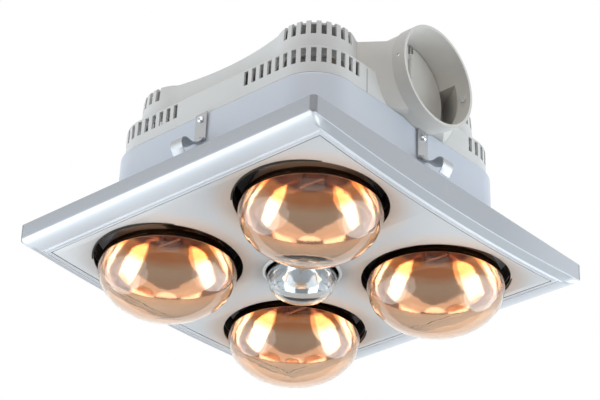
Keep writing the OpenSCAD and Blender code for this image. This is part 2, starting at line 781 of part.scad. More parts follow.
// One of the two half-round flaps, hung on a common upright pin
module damper_flap(side) color([0.80, 0.79, 0.77]) {
    knuckle = flap_pin_r + 1.5;
    r = duct_bore_r - flap_gap;
    inner = knuckle + 0.5;
    bands = side > 0 ? [[-30, -10.3], [10.3, 30]] : [[-36, -30.3], [-10, 10], [30.3, 36]];
    difference() {
        union() {
            intersection() {
                slice_x(flap_x - flap_t / 2, flap_t) translate([0, duct_z]) circle(r);
                translate([0, side > 0 ? inner : -through - inner, 0]) cube(through);
            }
            for (b = bands) translate([flap_x, 0, duct_z + b[0]]) {
                cylinder(r = knuckle, h = b[1] - b[0]);
                translate([-flap_t / 2, side > 0 ? 0 : -inner - 1, 0]) cube([flap_t, inner + 1, b[1] - b[0]]);
            }
        }
        translate([flap_x, 0, duct_z]) cylinder(r = flap_pin_r + 0.04, h = through, center = true);
    }
}

module damper_pin() color([0.7, 0.7, 0.72]) {
    translate([flap_x, 0, duct_z]) cylinder(r = flap_pin_r, h = 2 * duct_bore_r + 1.2, center = true);
}

// Ceiling clips, one to a wall

module on_wall(i) {
    rotate([90, 0, 270, 180][i - 1])
        translate([clip_wall, [clip_shift, clip_shift, -clip_shift, 0][i - 1], i == 2 ? -duct_clip_drop : 0])
            children();
}

module clip_plates() color([0.78, 0.79, 0.81]) {
    for (i = [1:4]) on_wall(i) difference() {
        union() {
            translate([0, -clip_w / 2, hinge_z]) cube([clip_t, clip_w, clip_z - hinge_z + clip_plate_h]);
            translate([pin_x, 0, hinge_z]) rotate([90, 0, 0]) cylinder(r = pin_r, h = clip_w, center = true);
            translate([0, -clip_w / 2, hinge_z]) cube([pin_x, clip_w, pin_r * 0.9]);
        }
        translate([-5, 0, clip_z + clip_plate_h - 7]) rotate([0, 90, 0]) cylinder(r = 1.7, h = 20);
        difference() {
            translate([-1, -clip_w / 4, hinge_z - 5]) cube([clip_t + 5, clip_w / 2, 5 + curl_r + 0.4]);
            translate([pin_x, 0, hinge_z]) rotate([90, 0, 0]) cylinder(r = pin_r, h = clip_w, center = true);
        }
    }
}

module clip_screws() color([0.82, 0.83, 0.84]) {
    for (i = [1:4]) on_wall(i) translate([0, 0, clip_z + clip_plate_h - 7]) rotate([0, 90, 0]) {
        translate([0, 0, clip_t + 0.1]) rotate_extrude()
            polygon(concat([[0, 0], [3.2, 0]], arc(0, 0, 3.2, 0, 90, 5)));
        translate([0, 0, 0]) cylinder(r = 1.5, h = clip_t + 0.6);
    }
}

// Spring arm: a waved leaf that runs out from the plate and ends in a turned-down lip
module clip_arm(i) color([0.86, 0.87, 0.88]) {
    start = pin_x + curl_r - 0.4;
    end = clip_reach;
    top = clip_lip_z + clip_lip_h;
    fall = hinge_z - top;
    wave = [for (k = [0:10]) [start + (end - start) * k / 10,
        top + fall * (1 - k / 10) * (1 - k / 10) + 2.2 * sin(180 * k / 10)]];
    line = concat(wave, [[end + 1.2, top - 2], [end - 3.4, clip_lip_z + 2], [end - 6, clip_lip_z]]);
    back = [for (p = line) [p[0] - clip_t * 0.35, p[1] - clip_t]];
    on_wall(i) translate([0, clip_w / 2, 0]) rotate([90, 0, 0]) linear_extrude(clip_w)
        polygon(concat(line, [[end - 6.8, clip_lip_z + 0.6], [end - 4.4, clip_lip_z + 2.6], [end, top - 1.8]],
            reverse([for (k = [0:10]) back[k]])));
    on_wall(i) translate([pin_x, 0, hinge_z]) rotate([90, 0, 0]) difference() {
        cylinder(r = curl_r, h = clip_w / 2 - 0.6, center = true);
        cylinder(r = pin_r + 0.06, h = clip_w, center = true);
    }
}

// Lamps

// Outside of a reflector lamp from the front dome up to the neck, as radius and level
function bulb_outline(r, mid, dome, neck_r, neck_z, top_z, inset) = let (
    low = ellipse_arc(0, mid, r - inset, dome - inset, -90, 0, 12),
    turn = 5,
    slope_x = (r - 1.2 - neck_r),
    slope_z = (neck_z - mid - turn))
    concat(low, [for (i = [0:8]) let (t = i / 8)
        [neck_r + slope_x * (1 - t) * (1 + 0.06 * t) - inset, mid + turn + slope_z * t]],
        [[neck_r - inset, top_z]]);

module bulb_shell(r, mid, dome, neck_r, neck_z, top_z) {
    rotate_extrude() polygon(concat(bulb_outline(r, mid, dome, neck_r, neck_z, top_z, 0),
        reverse(bulb_outline(r, mid, dome, neck_r, neck_z, top_z, glass_t))));
}

// Mirror coat on the inside of the glass, from just above the widest circle to the neck
module bulb_mirror(r, mid, dome, neck_r, neck_z, top_z) {
    coat = 0.4;
    rotate_extrude() intersection() {
        polygon(concat(bulb_outline(r, mid, dome, neck_r, neck_z, top_z, glass_t + 0.1),
            reverse(bulb_outline(r, mid, dome, neck_r, neck_z, top_z, glass_t + 0.1 + coat))));
        translate([neck_r - glass_t - 3, mid + 1]) square([r, neck_z - mid - 1]);
    }
}

module screw_cap(z, neck_r) {
    r = cap_d / 2;
    turns = 5;
    thread = cap_l - 8;
    translate([0, 0, z]) rotate_extrude() polygon(concat(
        [[neck_r + 0.05, -4], [neck_r + 0.8, -4], [neck_r + 0.8, -0.5], [r - 1.2, 2.2]],
        [for (i = [0:2 * turns]) [r - (i % 2 == 0 ? 1 : 0), 3 + thread * i / (2 * turns)]],
        [[r - 2, cap_l - 3], [5.5, cap_l], [5, cap_l + 2.2], [0, cap_l + 2.8], [0, cap_l - 1], [r - 4, cap_l - 5],
        [r - 3, 3], [neck_r - 2, -0.6], [neck_r + 0.05, -0.6]]));
}

// Glass stem, two flat support legs and the coiled wire between them
module filament_set(base_z, low_z, span) {
    foot_z = base_z - 12;
    stem_r = cap_d / 2 - 3 - seat;
    leg = 1.6;
    rotate_extrude() polygon([[0, base_z], [stem_r, base_z], [stem_r, base_z - 1], [6, base_z - 5],
        [4.5, foot_z - 4], [0, foot_z - 5]]);
    for (s = [-1, 1]) translate([0, leg / 2, 0]) rotate([90, 0, 0]) linear_extrude(leg)
        polygon([[s * 2, foot_z], [s * (2 + leg), foot_z], [s * (span + leg / 2), low_z - 1],
            [s * (span - leg / 2), low_z - 1]]);
    translate([0, 0, low_z]) rotate([0, 90, 0]) cylinder(r = 1.3, h = 2 * span + 2, center = true);
}

module lamp_at(i) {
    s = corner_sign(i);
    translate([s[0] * lamp_c, s[1] * lamp_c, 0]) children();
}

module lamp_glass(i) color([0.88, 0.58, 0.38, 0.5])
    lamp_at(i) bulb_shell(lamp_d / 2, -lamp_drop, lamp_dome, neck_d / 2, cap_z - 22, cap_z + 0.5);

module lamp_mirror(i) color([0.93, 0.85, 0.75])
    lamp_at(i) bulb_mirror(lamp_d / 2, -lamp_drop, lamp_dome, neck_d / 2, cap_z - 22, cap_z);

module lamp_cap(i) color([0.8, 0.7, 0.45]) lamp_at(i) lamp_cap_form();

module lamp_cap_form() {
    screw_cap(cap_z + 3, neck_d / 2);
}

module lamp_filament(i) color([0.8, 0.8, 0.82])
    lamp_at(i) filament_set(cap_z + 6.1, -4, 12);

module light_glass() color([0.8, 0.86, 0.82, 0.4])
    bulb_shell(light_d / 2, -light_drop, light_dome, 13, light_cap_z - 10, light_cap_z + 0.5);

module light_mirror() color([0.93, 0.93, 0.93])
    bulb_mirror(light_d / 2, -light_drop, light_dome, 13, light_cap_z - 10, light_cap_z);

module light_cap() color([0.8, 0.7, 0.45]) screw_cap(light_cap_z + 3, 13);

module light_filament() color([0.8, 0.8, 0.82]) filament_set(light_cap_z + 6.1, -14, 7);

lower_housing();
upper_housing();
heat_shield();
lamp_tray();
fan_scroll();
duct_spigot();
spigot_screws();
motor_body();
motor_bracket();
run_capacitor();
capacitor_clip();
terminal_block();
cable_gland();
gland_nut();
housing_screws();
clip_plates();
clip_screws();
lamp_holder(1);  // lamp_holder_1
lamp_holder(2);  // lamp_holder_2
lamp_holder(3);  // lamp_holder_3
lamp_holder(4);  // lamp_holder_4
light_holder();
light_bracket();
fascia_frame();
fascia_panel();
light_ring();
fascia_catches();
lamp_glass(1);  // lamp_1_glass
lamp_mirror(1);  // lamp_1_mirror
lamp_cap(1);  // lamp_1_cap
lamp_filament(1);  // lamp_1_filament
lamp_glass(2);  // lamp_2_glass
lamp_mirror(2);  // lamp_2_mirror
lamp_cap(2);  // lamp_2_cap
lamp_filament(2);  // lamp_2_filament
lamp_glass(3);  // lamp_3_glass
lamp_mirror(3);  // lamp_3_mirror
lamp_cap(3);  // lamp_3_cap
lamp_filament(3);  // lamp_3_filament
lamp_glass(4);  // lamp_4_glass
lamp_mirror(4);  // lamp_4_mirror
lamp_cap(4);  // lamp_4_cap
lamp_filament(4);  // lamp_4_filament
light_glass();
light_mirror();
light_cap();
light_filament();
fan_wheel();
fan_shaft();
wheel_nut();
damper_flap(1);  // damper_flap_left
damper_flap(-1);  // damper_flap_right
damper_pin();
clip_arm(1);  // clip_arm_1
clip_arm(2);  // clip_arm_2
clip_arm(3);  // clip_arm_3
clip_arm(4);  // clip_arm_4
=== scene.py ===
"""Looks of the ceiling heat lamp unit, built on its fixed frame.

Every length is in metres, in the unit's own frame: z = 0 is the ceiling plane, +Z points up, +X towards
the duct.
"""

import json
import logging
import math
from dataclasses import dataclass, field
from enum import Enum
from typing import Any, Optional, Sequence

import bmesh
import bpy
from mathutils import Matrix, Vector

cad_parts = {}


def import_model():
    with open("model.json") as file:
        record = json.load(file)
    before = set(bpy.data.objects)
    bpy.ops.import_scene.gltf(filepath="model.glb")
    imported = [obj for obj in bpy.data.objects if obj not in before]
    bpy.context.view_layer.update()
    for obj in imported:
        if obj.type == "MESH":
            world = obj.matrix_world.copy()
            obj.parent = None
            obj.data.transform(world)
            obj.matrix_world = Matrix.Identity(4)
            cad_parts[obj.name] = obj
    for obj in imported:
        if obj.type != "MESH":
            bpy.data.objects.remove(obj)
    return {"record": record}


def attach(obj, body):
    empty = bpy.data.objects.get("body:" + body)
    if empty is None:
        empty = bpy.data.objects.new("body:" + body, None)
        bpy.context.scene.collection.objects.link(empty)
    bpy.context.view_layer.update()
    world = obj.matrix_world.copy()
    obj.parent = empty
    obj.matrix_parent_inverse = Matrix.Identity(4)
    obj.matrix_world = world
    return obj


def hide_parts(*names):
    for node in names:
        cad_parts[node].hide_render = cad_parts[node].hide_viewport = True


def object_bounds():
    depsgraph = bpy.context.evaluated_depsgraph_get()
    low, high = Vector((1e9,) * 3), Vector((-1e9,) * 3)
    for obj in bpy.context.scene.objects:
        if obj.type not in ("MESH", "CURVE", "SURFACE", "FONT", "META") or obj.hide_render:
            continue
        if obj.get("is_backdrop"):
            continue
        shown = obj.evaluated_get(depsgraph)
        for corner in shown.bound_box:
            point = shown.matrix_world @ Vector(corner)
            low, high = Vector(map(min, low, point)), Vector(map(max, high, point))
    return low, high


LOG = logging.getLogger("heat_lamp_unit")
Colour = tuple[float, float, float]
Point = tuple[float, float, float]
Flat = tuple[float, float]

# Half the distance between neighbouring lamp axes
PITCH = 0.0855
# An edge that turns by more than this is eased
EASED_ANGLE = math.radians(50)


# Shader tools


class Sock:
    """A shader socket that can be used in plain arithmetic."""

    def __init__(self, graph: "Graph", socket: bpy.types.NodeSocket) -> None:
        """Keeps the graph that the socket belongs to.

        Args:
            graph: the material's graph.
            socket: the output socket.
        """
        self.graph = graph
        self.socket = socket

    def _math(self, operation: str, a: Any, b: Any = None, clamp: bool = False) -> "Sock":
        """Adds one Math node.

        Args:
            operation: the node's operation.
            a: the first value or socket.
            b: the second value or socket.
            clamp: whether the result is held from 0 to 1.

        Returns:
            The node's result.
        """
        inputs = {0: a} if b is None else {0: a, 1: b}
        return self.graph.add("ShaderNodeMath", inputs, operation=operation, use_clamp=clamp)

    def __add__(self, other: Any) -> "Sock":
        """Sum."""
        return self._math("ADD", self, other)

    def __mul__(self, other: Any) -> "Sock":
        """Product."""
        return self._math("MULTIPLY", self, other)

    def __sub__(self, other: Any) -> "Sock":
        """Difference."""
        return self._math("SUBTRACT", self, other)

    def __rsub__(self, other: Any) -> "Sock":
        """Difference, from a number."""
        return self._math("SUBTRACT", other, self)

    def __pow__(self, other: Any) -> "Sock":
        """Power."""
        return self._math("POWER", self, other)

    def clamped(self) -> "Sock":
        """The value, held from 0 to 1."""
        return self._math("ADD", self, 0.0, clamp=True)

    def band(self, low: float, high: float) -> "Sock":
        """A smooth step that rises from 0 at low to 1 at high."""
        return self.graph.add(
            "ShaderNodeMapRange",
            {0: self, 1: low, 2: high, 3: 0.0, 4: 1.0},
            interpolation_type="SMOOTHSTEP",
        )

    def size(self) -> "Sock":
        """The value without its sign."""
        return self._math("ABSOLUTE", self)

    def larger(self, other: "Sock") -> "Sock":
        """The larger of two values."""
        return self._math("MAXIMUM", self, other)


class Graph:
    """The nodes of one material."""

    def __init__(self, name: str) -> None:
        """Starts an empty material.

        Args:
            name: the material's name.
        """
        self.material = bpy.data.materials.new(name)
        self.material.use_nodes = True
        self.tree = self.material.node_tree
        self.tree.nodes.clear()
        self.output = self.tree.nodes.new("ShaderNodeOutputMaterial")

    def set_input(self, node: bpy.types.Node, key: Any, value: Any) -> None:
        """Gives one input a link or a constant.

        Args:
            node: the node.
            key: the input's name or number.
            value: a Sock, a number, a colour or a vector.
        """
        target = node.inputs[key]
        if isinstance(value, Sock):
            self.tree.links.new(value.socket, target)
        elif isinstance(value, (tuple, list)) and len(value) == 3 and target.type == "RGBA":
            target.default_value = (*value, 1.0)
        else:
            target.default_value = value

    def add(self, kind: str, inputs: Optional[dict[Any, Any]] = None, out: Any = 0, **settings: Any) -> Sock:
        """Adds a node, with its settings first and its inputs after.

        Args:
            kind: the node's type.
            inputs: values or sockets by input name or number.
            out: the output's name or number.
            settings: the node's own settings.

        Returns:
            The chosen output.
        """
        node = self.tree.nodes.new(kind)
        for key, value in settings.items():
            setattr(node, key, value)
        for key, value in (inputs or {}).items():
            self.set_input(node, key, value)
        return Sock(self, node.outputs[out])

    def place(self, scale: Point = (1.0, 1.0, 1.0)) -> Sock:
        """Object coordinates, stretched by a factor along each axis."""
        raw = self.add("ShaderNodeTexCoord", out="Object")
        return self.add("ShaderNodeMapping", {"Vector": raw, "Scale": scale})

    def axis(self, letter: str) -> Sock:
        """One of the object coordinates, X, Y or Z, in metres."""
        raw = self.add("ShaderNodeTexCoord", out="Object")
        return self.add("ShaderNodeSeparateXYZ", {0: raw}, out=letter)

    def radius(self, x: float, y: float) -> Sock:
        """Distance from an upright line.

        Args:
            x: the line's place along X.
            y: the line's place along Y.

        Returns:
            The distance, in metres.
        """
        dx, dy = self.axis("X") - x, self.axis("Y") - y
        return (dx * dx + dy * dy) ** 0.5

    def noise(self, scale: float, detail: float, where: Optional[Sock] = None) -> Sock:
        """A noise pattern from 0 to 1.

        Args:
            scale: its frequency per metre.
            detail: how many finer layers it has.
            where: the coordinates, or the plain object coordinates.

        Returns:
            The pattern.
        """
        inputs = {"Vector": where or self.place(), "Scale": scale, "Detail": detail, "Roughness": 0.5}
        return self.add("ShaderNodeTexNoise", inputs)

    def mix(self, factor: Any, a: Any, b: Any) -> Sock:
        """A colour between two colours.

        Args:
            factor: 0 gives a and 1 gives b.
            a: the first colour.
            b: the second colour.

        Returns:
            The mixed colour.
        """
        node = self.tree.nodes.new("ShaderNodeMix")
        node.data_type = "RGBA"
        self.set_input(node, 0, factor)
        self.set_input(node, 6, a)
        self.set_input(node, 7, b)
        return Sock(self, node.outputs[2])

    def ramp(self, factor: Sock, stops: Sequence[tuple[float, Colour]]) -> Sock:
        """A colour ramp.

        Args:
            factor: the place on the ramp.
            stops: places and colours, in order.

        Returns:
            The colour.
        """
        node = self.tree.nodes.new("ShaderNodeValToRGB")
        band = node.color_ramp
        while len(band.elements) < len(stops):
            band.elements.new(0.5)
        for element, (place, colour) in zip(band.elements, stops):
            element.position = place
            element.color = (*colour, 1.0)
        self.set_input(node, 0, factor)
        return Sock(self, node.outputs[0])

    def bump(self, height: Sock, strength: float, distance: float) -> Sock:
        """A bumped normal.

        Args:
            height: the height pattern.
            strength: how strongly it shows.
            distance: the height of a full step, in metres.

        Returns:
            The normal.
        """
        inputs = {"Height": height, "Strength": strength, "Distance": distance}
        return self.add("ShaderNodeBump", inputs, out="Normal")

    def principled(self, inputs: dict[str, Any]) -> bpy.types.Material:
        """Ends the graph in one Principled shader.

        Args:
            inputs: its inputs by name.

        Returns:
            The finished material.
        """
        node = self.tree.nodes.new("ShaderNodeBsdfPrincipled")
        for key, value in inputs.items():
            self.set_input(node, key, value)
        self.tree.links.new(node.outputs[0], self.output.inputs[0])
        return self.material


# Finishes


def shade(colour: Colour, factor: float) -> Colour:
    """A colour made lighter or darker by a factor."""
    return tuple(min(1.0, c * factor) for c in colour)


@dataclass(frozen=True)
class SatinPaint:
    """Sprayed paint with a soft sheen, faint cloudiness and orange peel."""

    colour: Colour
    warm: Colour
    roughness: float
    metallic: float
    peel: float
    coat: float

    def tone(self, g: Graph) -> Sock:
        """The cloudy base colour.

        Args:
            g: the material's graph.

        Returns:
            The colour.
        """
        return g.mix(g.noise(9.0, 3.0).band(0.35, 0.7), self.colour, self.warm)

    def make(self, name: str) -> bpy.types.Material:
        """Builds the material under a name."""
        g = Graph(name)
        flake = g.noise(2600.0, 1.0)
        scuff = g.noise(60.0, 4.0, g.place((1.0, 1.0, 0.25)))
        speck = g.mix(flake.band(0.62, 0.72) * 0.25, self.tone(g), shade(self.colour, 1.12))
        return g.principled({
            "Base Color": g.mix(scuff.band(0.66, 0.8) * 0.35, speck, shade(self.colour, 0.82)),
            "Metallic": self.metallic,
            "Roughness": (scuff * 0.12 + (self.roughness - 0.06)).clamped(),
            "Coat Weight": self.coat,
            "Coat Roughness": 0.18,
            "Normal": g.bump(g.noise(900.0, 2.0), self.peel, 0.0004),
        })


@dataclass(frozen=True)
class FramePaint(SatinPaint):
    """Satin paint with painted shade on the rim's faces, corners, gap line and ±X bevels, and painted light on
    the ±X rim towards +Y.

    Each pair holds the two distances, in metres, between which a tone comes in.
    """

    # rim: the painted shade colour of the rim's upright faces
    rim: Colour
    half_x: float = 0.1758
    half_y: float = 0.1859
    face: Flat = (0.0007, 0.0002)
    # corner: where painted shade comes in at the rim's corners
    corner: Flat = (0.0050, 0.0044)
    # lit: where painted light on the ±X rim comes in along Y
    lit: Flat = (0.04, 0.17)
    # gap: where painted shade fills the gap between frame and panel
    gap: Flat = (0.1602, 0.1604)
    # bevel_in, bevel_out and bevel_end: where painted shade lies on the ±X bevels
    bevel_in: Flat = (0.1664, 0.1670)
    bevel_out: Flat = (0.1744, 0.1750)
    bevel_end: Flat = (0.168, 0.178)

    def tone(self, g: Graph) -> Sock:
        """The base colour, with the frame's painted shade and painted light."""
        x, y = g.axis("X").size(), g.axis("Y").size()
        side_x = x.band(*(self.half_x - depth for depth in self.face))
        side_y = y.band(*(self.half_y - depth for depth in self.face))
        corner = (x + y).band(*(self.half_x + self.half_y - depth for depth in self.corner))
        bevel = x.band(*self.bevel_in) * (1.0 - x.band(*self.bevel_out)) * (1.0 - y.band(*self.bevel_end))
        tone = super().tone(g)
        for mask, colour in (
            # painted shade on the rim's upright faces
            ((side_x + side_y).clamped(), self.rim),
            # painted light on the ±X rim faces towards +Y
            (side_x * g.axis("Y").band(*self.lit) * 0.6, shade(self.rim, 1.38)),
            # painted shade in the rim's corners
            (corner, shade(self.rim, 0.66)),
            # painted shade inside the gap between frame and panel
            (1.0 - x.larger(y).band(*self.gap), shade(self.rim, 0.2)),
            # painted shade on the ±X bevels
            (bevel, shade(self.colour, 0.6)),
        ):
            tone = g.mix(mask, tone, colour)
        return tone


@dataclass(frozen=True)
class PanelPaint:
    """Flat silver paint, with a painted warm glow round the four lamps and painted light towards the -X -Y
    corner.

    Each pair holds the two distances, in metres, between which a tone comes in.
    """

    colour: Colour
    # painted light: the warm glow round the lamps
    heated: Colour = (0.84, 0.62, 0.46)
    ring: Flat = (0.067, 0.092)
    # painted light: where the -X -Y corner grows lighter
    clean: Flat = (0.12, 0.29)

    def make(self, name: str) -> bpy.types.Material:
        """Builds the material under a name."""
        g = Graph(name)
        # Painted light: a warm glow round each lamp, weaker in the lighter corner.
        rings = [1.0 - g.radius(x, y).band(*self.ring) for x in (-PITCH, PITCH) for y in (-PITCH, PITCH)]
        glow_mask = sum(rings[1:], rings[0]) * 0.7
        grain = g.noise(1800.0, 2.0)
        cloud = g.noise(14.0, 3.0)
        # Painted light: lighter towards the -X -Y corner.
        clean = (0.0 - g.axis("X") - g.axis("Y")).band(*self.clean)
        corner_lit_tone = g.mix(clean, self.colour, shade(self.colour, 1.22))
        warm = g.mix((glow_mask * (1.0 - clean * 0.8)).clamped(), corner_lit_tone, self.heated)
        tone = g.mix(cloud.band(0.3, 0.75) * 0.5, warm, shade(self.colour, 0.94))
        return g.principled({
            "Base Color": g.mix(grain.band(0.55, 0.75) * 0.18, tone, shade(self.colour, 1.15)),
            "Metallic": 0.15,
            "Roughness": (cloud * 0.1 + 0.44).clamped(),
            "Normal": g.bump(grain, 0.06, 0.0003),
        })


@dataclass(frozen=True)
class MouldedPlastic:
    """Moulded plastic with a fine spark-eroded grain, dust and, where it has one, a seam.

    Each pair holds the two distances, in metres, between which the seam's tone comes in.
    """

    colour: Colour
    dusty: Colour
    roughness: float = 0.5
    grain: float = 0.12
    specular: float = 0.42
    seam_y: Optional[float] = None
    seam_half: Flat = (0.0004, 0.0008)
    seam_wall: Flat = (0.1275, 0.1280)
    seam_top: Flat = (0.1040, 0.1050)

    def make(self, name: str) -> bpy.types.Material:
        """Builds the material under a name."""
        g = Graph(name)
        dust = g.noise(22.0, 4.0)
        grain = g.noise(1500.0, 3.0)
        flow = g.noise(6.0, 2.0, g.place((1.0, 1.0, 3.0)))
        tone = g.mix(dust.band(0.42, 0.75) * 0.45, self.colour, self.dusty)
        if self.seam_y is not None:
            groove = 1.0 - (g.axis("Y") - self.seam_y).size().band(*self.seam_half)
            wall = g.axis("X").band(*self.seam_wall) * (1.0 - g.axis("Z").band(*self.seam_top))
            tone = g.mix(groove * wall, tone, shade(self.colour, 0.45))
        return g.principled({
            "Base Color": g.mix(flow.band(0.4, 0.8) * 0.3, tone, shade(self.colour, 1.06)),
            "Roughness": (grain * 0.14 + (self.roughness - 0.07)).clamped(),
            "Specular IOR Level": self.specular,
            "Normal": g.bump(grain, self.grain, 0.0003),
        })


@dataclass(frozen=True)
class BareMetal:
    """Bright metal with drawn lines along one direction."""

    colour: Colour
    roughness: float
    stretch: Point = (1.0, 1.0, 12.0)
    lines: float = 0.1
    stain: Colour = (0.35, 0.33, 0.30)

    def make(self, name: str) -> bpy.types.Material:
        """Builds the material under a name."""
        g = Graph(name)
        drawn = g.noise(700.0, 3.0, g.place(self.stretch))
        spots = g.noise(45.0, 4.0)
        tone = g.mix(spots.band(0.6, 0.8) * 0.35, self.colour, self.stain)
        return g.principled({
            "Base Color": g.mix(drawn.band(0.35, 0.7) * 0.25, tone, shade(self.colour, 1.15)),
            "Metallic": 1.0,
            "Roughness": (drawn * 0.14 + spots * 0.08 + (self.roughness - 0.1)).clamped(),
            "Normal": g.bump(drawn, self.lines, 0.0002),
        })


@dataclass(frozen=True)
class Glaze:
    """Gloss surface with pinholes: glazed ceramic, gloss plastic or enamel."""

    colour: Colour
    roughness: float = 0.14
    coat: float = 0.5
    pits: float = 0.15

    def make(self, name: str) -> bpy.types.Material:
        """Builds the material under a name."""
        g = Graph(name)
        cloud = g.noise(30.0, 3.0)
        pit = g.noise(900.0, 1.0).band(0.7, 0.78)
        return g.principled({
            "Base Color": g.mix(pit * 0.4 + cloud * 0.15, self.colour, shade(self.colour, 0.72)),
            "Roughness": (cloud * 0.12 + self.roughness).clamped(),
            "Coat Weight": self.coat,
            "Coat Roughness": 0.08,
            "Normal": g.bump(1.0 - pit, self.pits, 0.0002),
        })


@dataclass(frozen=True)
class BlownGlass:
    """Thin tinted glass with faint ripples and a gloss that fades between two levels, towards the holes."""

    colour: Colour
    ior: float
    coat_ior: float
    coat: float = 0.6
    fade: Flat = (-0.052, -0.040)

    def make(self, name: str) -> bpy.types.Material:
        """Builds the material under a name."""
        g = Graph(name)
        streak = g.noise(40.0, 3.0, g.place((1.0, 1.0, 3.0)))
        fine = g.noise(260.0, 2.0)
        return g.principled({
            "Base Color": g.mix(streak.band(0.35, 0.75) * 0.5, self.colour, shade(self.colour, 0.95)),
            "Roughness": (fine * 0.02).clamped(),
            "Transmission Weight": 1.0,
            "IOR": self.ior,
            "Coat Weight": (1.0 - g.axis("Z").band(*self.fade)) * self.coat,
            "Coat Roughness": 0.03,
            "Coat IOR": self.coat_ior,
            "Normal": g.bump(streak + fine * 0.25, 0.05, 0.0012),
        })


@dataclass(frozen=True)
class MirrorCoat:
    """Vapour-laid mirror on the inside of the glass, in bands from the front edge to the neck; the darker neck
    band is painted shade.
    """

    neck: Colour
    mid: Colour
    bowl: Colour
    rim: Colour
    top: float
    low: float
    places: tuple[float, ...] = (0.0, 0.06, 0.14, 0.20, 0.31, 0.42, 0.48)

    def make(self, name: str) -> bpy.types.Material:
        """Builds the material under a name."""
        g = Graph(name)
        wave = g.noise(55.0, 3.0)
        # The neck's darker colour is painted shade deep in the bowl.
        bands = (self.rim, self.rim, self.bowl, self.bowl, self.mid, self.mid, self.neck)
        tone = g.ramp(g.axis("Z").band(self.low, self.top), list(zip(self.places, bands)))
        return g.principled({
            "Base Color": g.mix(wave.band(0.4, 0.8) * 0.2, tone, shade(self.bowl, 1.08)),
            "Metallic": 1.0,
            "Roughness": (wave * 0.08 + 0.05).clamped(),
            "Normal": g.bump(wave, 0.12, 0.0012),
        })


class Finish(Enum):
    """The finishes, by the record's slot names."""

    # The frame's last colour is the painted shade of its rim's upright faces.
    frame_paint = FramePaint((0.71, 0.72, 0.735), (0.73, 0.735, 0.745), 0.52, 0.4, 0.05, 0.1,
                             (0.39, 0.40, 0.42))
    # Its defaults add a painted warm glow round the lamps and painted light towards the -X -Y corner.
    panel_paint = PanelPaint((0.64, 0.635, 0.625))
    skirt_steel = SatinPaint((0.56, 0.60, 0.66), (0.60, 0.62, 0.66), 0.42, 0.1, 0.05, 0.1)
    upper_shell = MouldedPlastic((0.68, 0.665, 0.635), (0.62, 0.60, 0.565), 0.5, 0.12, 0.42,
                                 -0.0675)
    spigot_plastic = MouldedPlastic((0.64, 0.61, 0.56), (0.57, 0.535, 0.49), 0.46)
    shield_black = MouldedPlastic((0.045, 0.036, 0.026), (0.085, 0.072, 0.055), 0.6, 0.2, 0.2)
    sheet_steel = BareMetal((0.56, 0.57, 0.58), 0.34)
    clip_steel = BareMetal((0.43, 0.435, 0.44), 0.46, (1.0, 1.0, 6.0), 0.25, (0.22, 0.21, 0.20))
    screw_steel = BareMetal((0.74, 0.75, 0.77), 0.2)
    lamp_glass = BlownGlass((0.985, 0.77, 0.60), 1.3, 1.62)
    # Its dark neck colour is painted shade.
    lamp_mirror = MirrorCoat((0.22, 0.07, 0.03), (0.92, 0.47, 0.19), (0.96, 0.935, 0.87),
                             (0.92, 0.76, 0.66), 0.060, -0.034)
    light_glass = BlownGlass((0.95, 0.975, 0.975), 1.35, 1.6)
    light_mirror = MirrorCoat((0.80, 0.81, 0.82), (0.90, 0.90, 0.91), (0.96, 0.96, 0.97),
                              (0.80, 0.83, 0.86), 0.020, -0.033)
    ring_white = Glaze((0.78, 0.78, 0.78), 0.2, 0.4, 0.05)
    cap_brass = BareMetal((0.72, 0.60, 0.34), 0.3)
    filament_wire = BareMetal((0.24, 0.11, 0.06), 0.42)
    holder_ceramic = Glaze((0.80, 0.78, 0.72))
    scroll_plastic = MouldedPlastic((0.70, 0.60, 0.50), (0.62, 0.52, 0.43))
    wheel_plastic = MouldedPlastic((0.72, 0.66, 0.58), (0.64, 0.56, 0.48), 0.4)
    motor_paint = Glaze((0.10, 0.105, 0.11), 0.3, 0.2)
    shaft_steel = BareMetal((0.56, 0.56, 0.58), 0.22)
    nut_brass = BareMetal((0.62, 0.52, 0.28), 0.28)
    capacitor_case = Glaze((0.72, 0.72, 0.70), 0.25, 0.3, 0.05)
    terminal_plastic = MouldedPlastic((0.74, 0.74, 0.71), (0.64, 0.62, 0.58), 0.4)
    gland_nylon = MouldedPlastic((0.035, 0.035, 0.038), (0.06, 0.058, 0.055), 0.45)


class Palette:
    """Makes each material once."""

    def __init__(self) -> None:
        """Starts with no material."""
        self.made: dict[str, bpy.types.Material] = {}

    def get(self, finish: Finish) -> bpy.types.Material:
        """The material of a finish.

        Args:
            finish: the finish.

        Returns:
            Its material.
        """
        if finish.name not in self.made:
            self.made[finish.name] = finish.value.make(finish.name)
        return self.made[finish.name]


# Mesh tools


def swept(bm: bmesh.types.BMesh, rings: Sequence[Sequence[Point]]) -> None:
    """Sweeps a ring of points through other rings and back to the first one.

    Args:
        bm: the mesh.
        rings: the rings, in order, with the same number of points.
    """
    verts = [bm.verts.new(p) for p in rings[0]]
    edges = [bm.edges.new((verts[i], verts[(i + 1) % len(verts)])) for i in range(len(verts))]
    for ring in list(rings[1:]) + [rings[0]]:
        grown = bmesh.ops.extrude_edge_only(bm, edges=edges)["geom"]
        fresh = {g for g in grown if isinstance(g, bmesh.types.BMVert)}
        verts = [next(e.other_vert(v) for e in v.link_edges if e.other_vert(v) in fresh) for v in verts]
        for v, place in zip(verts, ring):
            v.co = place
        edges = [g for g in grown if isinstance(g, bmesh.types.BMEdge)
                 and g.verts[0] in fresh and g.verts[1] in fresh]
    bmesh.ops.remove_doubles(bm, verts=bm.verts[:], dist=1e-6)


